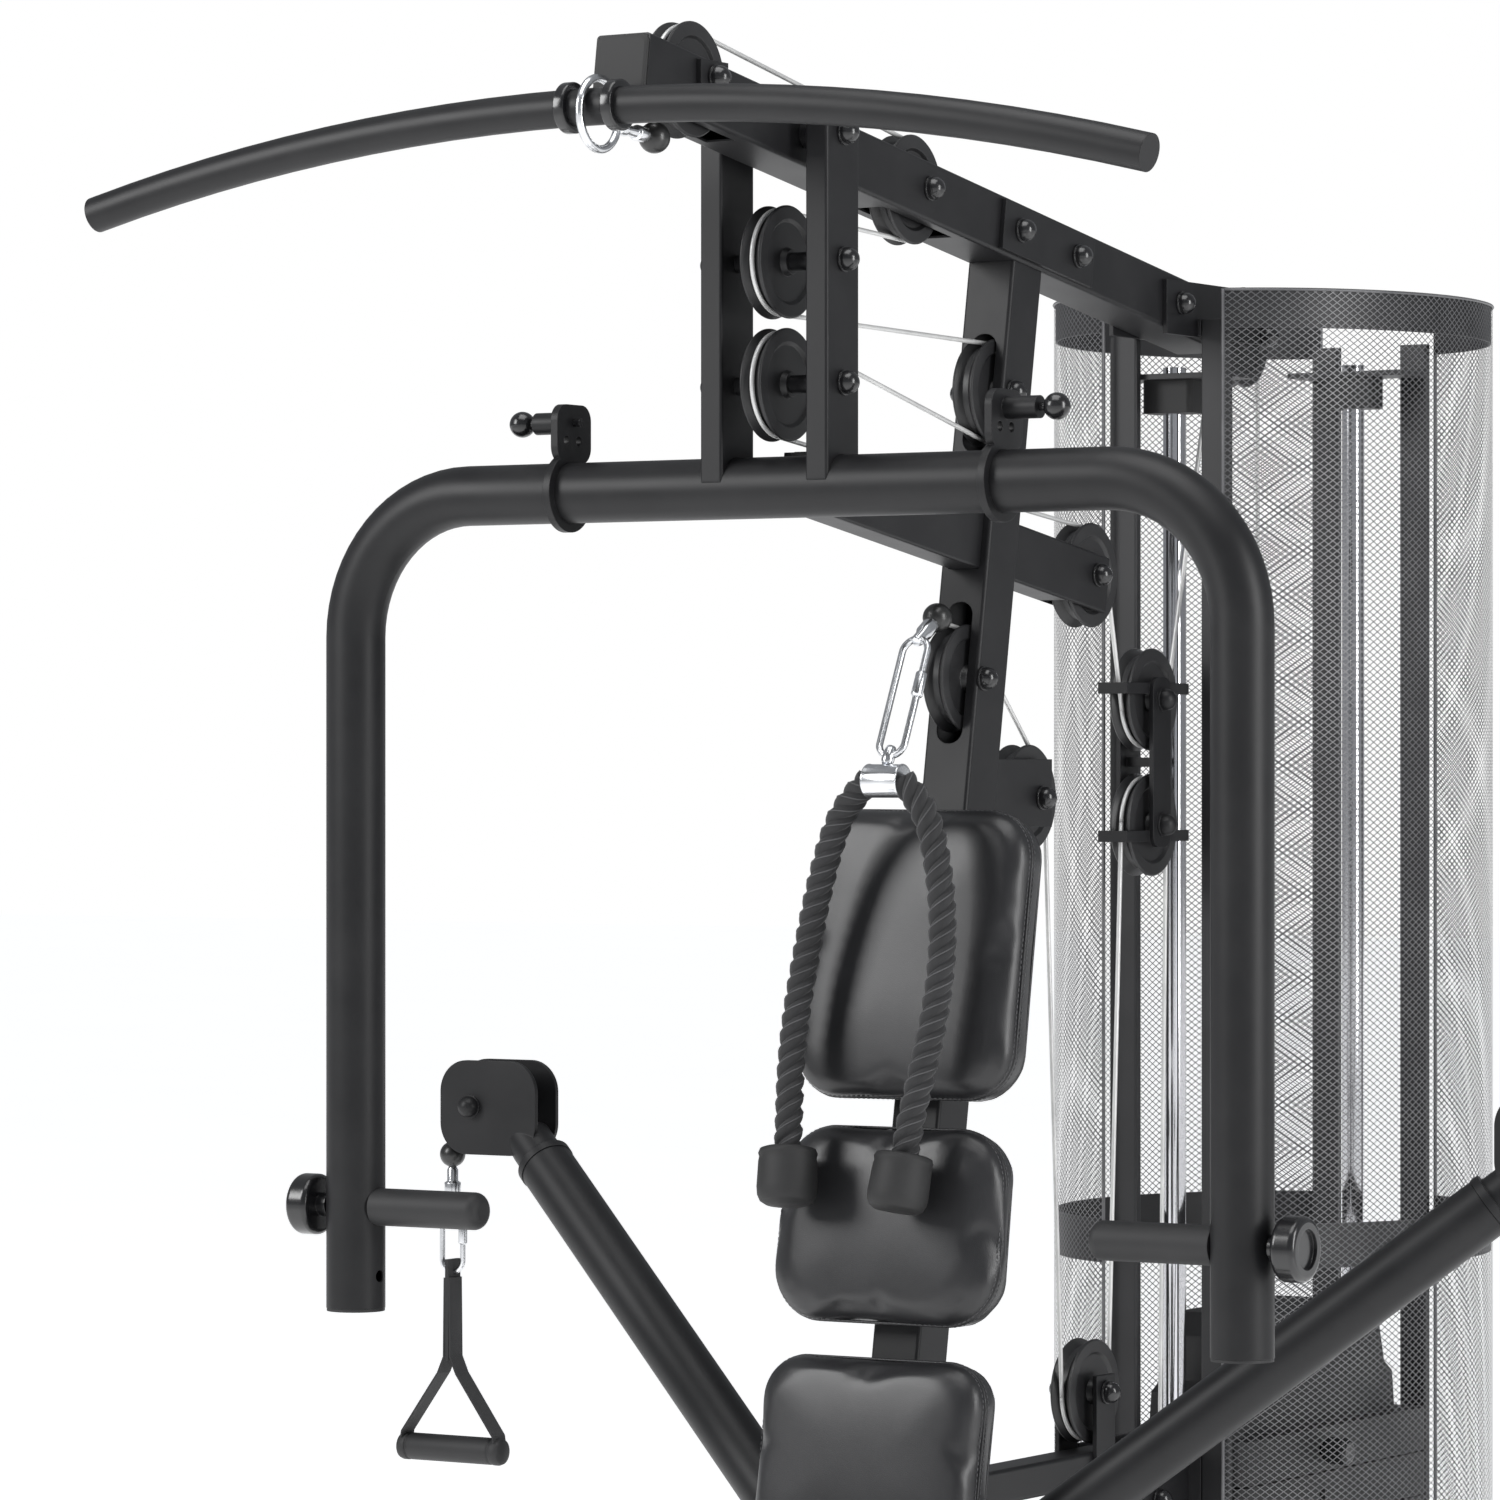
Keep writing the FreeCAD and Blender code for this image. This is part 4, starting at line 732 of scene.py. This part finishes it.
for word, half, corner, z0, z1 in (("upper", .156, .058, 1.062, 1.374), ("middle", .106, .062, .838, 1.050),
                                   ("lower", .1105, .052, .598, .819)):
    cushion("pad_" + word, PAD_HALF, half, PAD_THICK, corner, leaned(z0, z1), .005, "back_pad_" + word,
            "machine_frame")
low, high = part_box("seat_pad")
seat_place = Matrix.Translation(((low[0] + high[0]) / 2, (low[1] + high[1]) / 2, low[2] + .0004)) @ \
    Matrix.Rotation(math.radians(-90), 4, "X")
cushion("seat_cushion", .150, (high[1] - low[1]) / 2, high[2] - low[2] - .0008, .045, seat_place, .008,
        "seat_pad", "seat")


# ---- small fittings ----
def lathe(name, origin, axis, profile, material, body, sides=40):
    """Turned piece from (distance along the axis, radius) pairs."""
    axis = Vector(axis).normalized()
    side = axis.orthogonal().normalized()
    up = axis.cross(side)
    verts, faces = [], []
    for along, radius in profile:
        for k in range(sides):
            a = 2 * math.pi * k / sides
            r = max(radius, 1e-5)
            verts.append(Vector(origin) + axis * along + side * (r * math.cos(a)) + up * (r * math.sin(a)))
    for i in range(len(profile) - 1):
        for k in range(sides):
            a, b = i * sides + k, i * sides + (k + 1) % sides
            faces.append((a, b, b + sides, a + sides))
    faces.append(tuple(range(sides - 1, -1, -1)))
    faces.append(tuple(len(verts) - sides + k for k in range(sides)))
    obj = link_mesh(name, verts, faces)
    bm = bmesh.new()
    bm.from_mesh(obj.data)
    bmesh.ops.recalc_face_normals(bm, faces=bm.faces)
    bm.to_mesh(obj.data)
    bm.free()
    mod = obj.modifiers.new("edges", "BEVEL")
    mod.width, mod.segments, mod.limit_method = .0004, 2, "ANGLE"
    return give(obj, material, body)


def ball(name, centre, radius, material, body):
    """Ball, turned about Z."""
    steps = 16
    profile = [(-radius * math.cos(math.pi * k / steps), radius * math.sin(math.pi * k / steps))
               for k in range(steps + 1)]
    return lathe(name, centre, (0, 0, 1), profile, material, body, 32)


def loop(name, centre, long_axis, wide_axis, half_long, half_wide, wire, material, body):
    """Closed oval of wire, such as a snap link."""
    e, f = Vector(long_axis).normalized(), Vector(wide_axis).normalized()
    run = half_long - half_wide
    count, sides = 48, 12
    line = []
    for k in range(count):
        a = 2 * math.pi * k / count
        push = run if math.cos(a) >= 0 else -run
        line.append(Vector(centre) + e * (half_wide * math.cos(a) + push) + f * (half_wide * math.sin(a)))
    verts, faces = [], []
    normal = e.cross(f)
    for i, place in enumerate(line):
        ahead = (line[(i + 1) % count] - line[i - 1]).normalized()
        out = ahead.cross(normal)
        for k in range(sides):
            a = 2 * math.pi * k / sides
            verts.append(place + out * (wire * math.cos(a)) + normal * (wire * math.sin(a)))
    for i in range(count):
        here, beyond = i * sides, (i + 1) % count * sides
        for k in range(sides):
            far = (k + 1) % sides
            faces.append((here + k, here + far, beyond + far, beyond + k))
    return give(link_mesh(name, verts, faces), material, body)


# plug in the boom's open front end, from its foot inside the tube to its chamfered face
BOOM_SLOPE = math.radians(8.6)
BOOM_END = (-.780, 1.9947 + math.tan(BOOM_SLOPE) * .3835)  # middle of the open end, as (y, z)
# (distance into the boom, half width)
PLUG = ((.012, .0268), (.0, .0268), (-.0012, .0290), (-.0030, .0282), (-.0036, .0250))
heading = Vector((0, math.cos(BOOM_SLOPE), -math.sin(BOOM_SLOPE)))
face = Vector((0, *BOOM_END)) + heading * .0012
upward = Vector((0, math.sin(BOOM_SLOPE), math.cos(BOOM_SLOPE)))
plug_v, plug_f = [], []
for along, half in PLUG:
    for x, z in outline(half, half, .005, 0, 6):
        plug_v.append(face + heading * along + Vector((x, 0, 0)) + upward * z)
ring_size = len(plug_v) // len(PLUG)
for i in range(len(PLUG) - 1):
    for k in range(ring_size):
        a, b = i * ring_size + k, i * ring_size + (k + 1) % ring_size
        plug_f.append((a, b, b + ring_size, a + ring_size))
plug_f.append(tuple(range(ring_size - 1, -1, -1)))
plug_f.append(tuple(len(plug_v) - ring_size + k for k in range(ring_size)))
give(link_mesh("boom_plug", plug_v, plug_f, False), "rubber", "machine_frame")

# high pull bar: chrome ring and shank between black collars
for x, word in ((-.026, "left"), (.026, "right")):
    lathe("lat_collar_" + word, (x - .006, -.826, 2.010), (1, 0, 0),
          [(0, .0178), (0, .0225), (.0015, .024), (.0105, .024), (.012, .0225), (.012, .0178)],
          "cap_plastic", "lat_handle")
ring = loop("lat_ring", (0, -.818, 2.004), (0, 0, 1), (0, 1, 0), .0331, .033, .0040,
            "bright_chain", "lat_handle")
lathe("lat_shank", (0, -.787, 1.994), (0, .0636, -.004),
      [(0, .0045), (.002, .0065), (.012, .0065), (.014, .0050), (.03, .0050), (.032, .0075), (.046, .0075),
       (.049, .0060)], "bright_chain", "lat_handle")
ball("lat_ball", (0, front_y, 1.990), .015, "ball_rubber", "lat_handle")
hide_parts("lat_fittings")

# rope: stopper, shank, snap link, rope tube and end caps
chain_top, chain_low = Vector((0, -.236, 1.524)), Vector((0, -.290, 1.412))
slant = (chain_low - chain_top).normalized()
ball("rope_ball", (0, -.196, 1.549), .015, "ball_rubber", "rope_handle")
lathe("rope_shank", (0, -.204, 1.5445), (0, -.036, -.022),
      [(0, .006), (.006, .0085), (.022, .0085), (.027, .0065), (.036, .0065), (.040, .005)],
      "bright_chain", "rope_handle")
link = loop("rope_link", (chain_top + chain_low) / 2, slant, (1, 0, 0), .0655, .0145, .0036,
            "bright_chain", "rope_handle")
lathe("rope_link_sleeve", chain_top + slant * .034 + Vector((.0145, 0, 0)), slant,
      [(0, .0040), (.002, .0060), (.026, .0060), (.028, .0040)], "bright_chain", "rope_handle")
lathe("rope_eye", chain_low - slant * .001, (0, -.298 + .290, 1.398 - 1.412),
      [(-.006, .0045), (0, .0065), (.010, .0065), (.014, .005)], "bright_chain", "rope_handle")
lathe("rope_tube", (-.0205, -.298, 1.384), (1, 0, 0),
      [(0, .0150), (0, .0168), (.0012, .0174), (.004, .0168), (.037, .0168), (.0398, .0174), (.041, .0168),
       (.041, .0150)], "bright_chain", "rope_handle")
for line, word in zip(ROPES, ("right", "left")):
    end = line[-1]
    along = (line[-1] - line[-6]).normalized()
    lathe("rope_cap_" + word, end, along,
          [(-.024, .0150), (-.026, .0240), (-.0245, .0282), (-.020, .0300), (-.0165, .0288), (-.012, .0296),
           (.014, .0306), (.022, .0298), (.028, .0270), (.0315, .0215), (.0322, .010), (.0323, .0)],
          "rubber", "rope_handle", 56)
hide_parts("rope_fittings")

# hand grips on the cable arms
GRIP = [(0, .0), (.0004, .0090), (.002, .0135), (.006, .0150), (.012, .0150), (.0128, .0138), (.0145, .0138),
        (.0153, .0147), (.120, .0147), (.1215, .0138), (.1232, .0138), (.124, .0150), (.130, .0150),
        (.134, .0135), (.1356, .0090), (.136, .0)]
STRAP_LEG = [(.003, .842), (.0035, .80), (.004, .756), (.012, .738), (.060, .672), (.0625, .656)]
STRAP_WIDE, STRAP_THICK = .0235, .0020


def band(verts, faces, points, thick):
    """Add a flat strap along the points to the lists, with its width along Y."""
    base = len(verts)
    flat = Vector((0, 1, 0))
    rows = frames_along([Vector(p) for p in points])
    for place, ahead, _, _ in rows:
        out = ahead.cross(flat).normalized()
        for a, b in ((1, 1), (-1, 1), (-1, -1), (1, -1)):
            verts.append(place + flat * (STRAP_WIDE / 2 * a) + out * (thick / 2 * b))
    for i in range(len(rows) - 1):
        for k in range(4):
            p, q = base + 4 * i + k, base + 4 * i + (k + 1) % 4
            faces.append((p, q, q + 4, p + 4))
    faces.append((base + 3, base + 2, base + 1, base))
    faces.append(tuple(len(verts) - 4 + k for k in range(4)))


for word in ("left", "right"):
    low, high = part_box("handle_" + word)
    x, y = (low[0] + high[0]) / 2, (low[1] + high[1]) / 2
    body = "grip_" + word
    ball("stopper_" + word, (x, y, .976), .014, "ball_rubber", body)
    lathe("swivel_" + word, (x, y, .963), (0, 0, -1),
          [(0, .004), (.004, .006), (.016, .006), (.018, .009), (.030, .009), (.033, .0062), (.036, .005)],
          "bright_chain", body)
    loop("snap_link_" + word, (x, y, .889), (0, 0, 1), (1, 0, 0), .041, .0135, .0030,
         "bright_chain", body)
    lathe("snap_sleeve_" + word, (x + .0135, y, .900), (0, 0, -1),
          [(0, .0034), (.002, .0050), (.020, .0050), (.022, .0034)], "bright_chain", body)
    lathe("grip_core_" + word, (x - .068, y, .655), (1, 0, 0), GRIP, "grip_rubber", body, 48)
    # strap: one band down from the link, then one leg to each end of the grip
    bands_v, bands_f = [], []
    band(bands_v, bands_f, [(x, y, z) for z in (.862, .853, .80, .752)], .0042)
    for side in (1, -1):
        band(bands_v, bands_f, [(x + side * out, y, z) for out, z in STRAP_LEG], STRAP_THICK)
    strap = give(link_mesh("strap_" + word, bands_v, bands_f, False), "webbing", body)
    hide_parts("handle_" + word)

# ---- floor ----
FLOOR_HALF, FLOOR_Z, FLOOR_GLOW = 40, -.0005, 0.74  # the glow brings the floor up to the white behind it
corners = [(x * FLOOR_HALF, y * FLOOR_HALF, FLOOR_Z) for x, y in ((-1, -1), (1, -1), (1, 1), (-1, 1))]
floor = link_mesh("floor", corners, [(0, 1, 2, 3)])
floor_mat = finish("floor_white", (.86, .86, .86), (.90, .90, .90), .6, 60, .0001, cloud=1.2, bevel=0)
floor.data.materials.append(floor_mat)
floor_shader = floor_mat.node_tree.nodes["Principled BSDF"]
floor_shader.inputs["Emission Color"].default_value = (1, 1, 1, 1)
floor_shader.inputs["Emission Strength"].default_value = FLOOR_GLOW
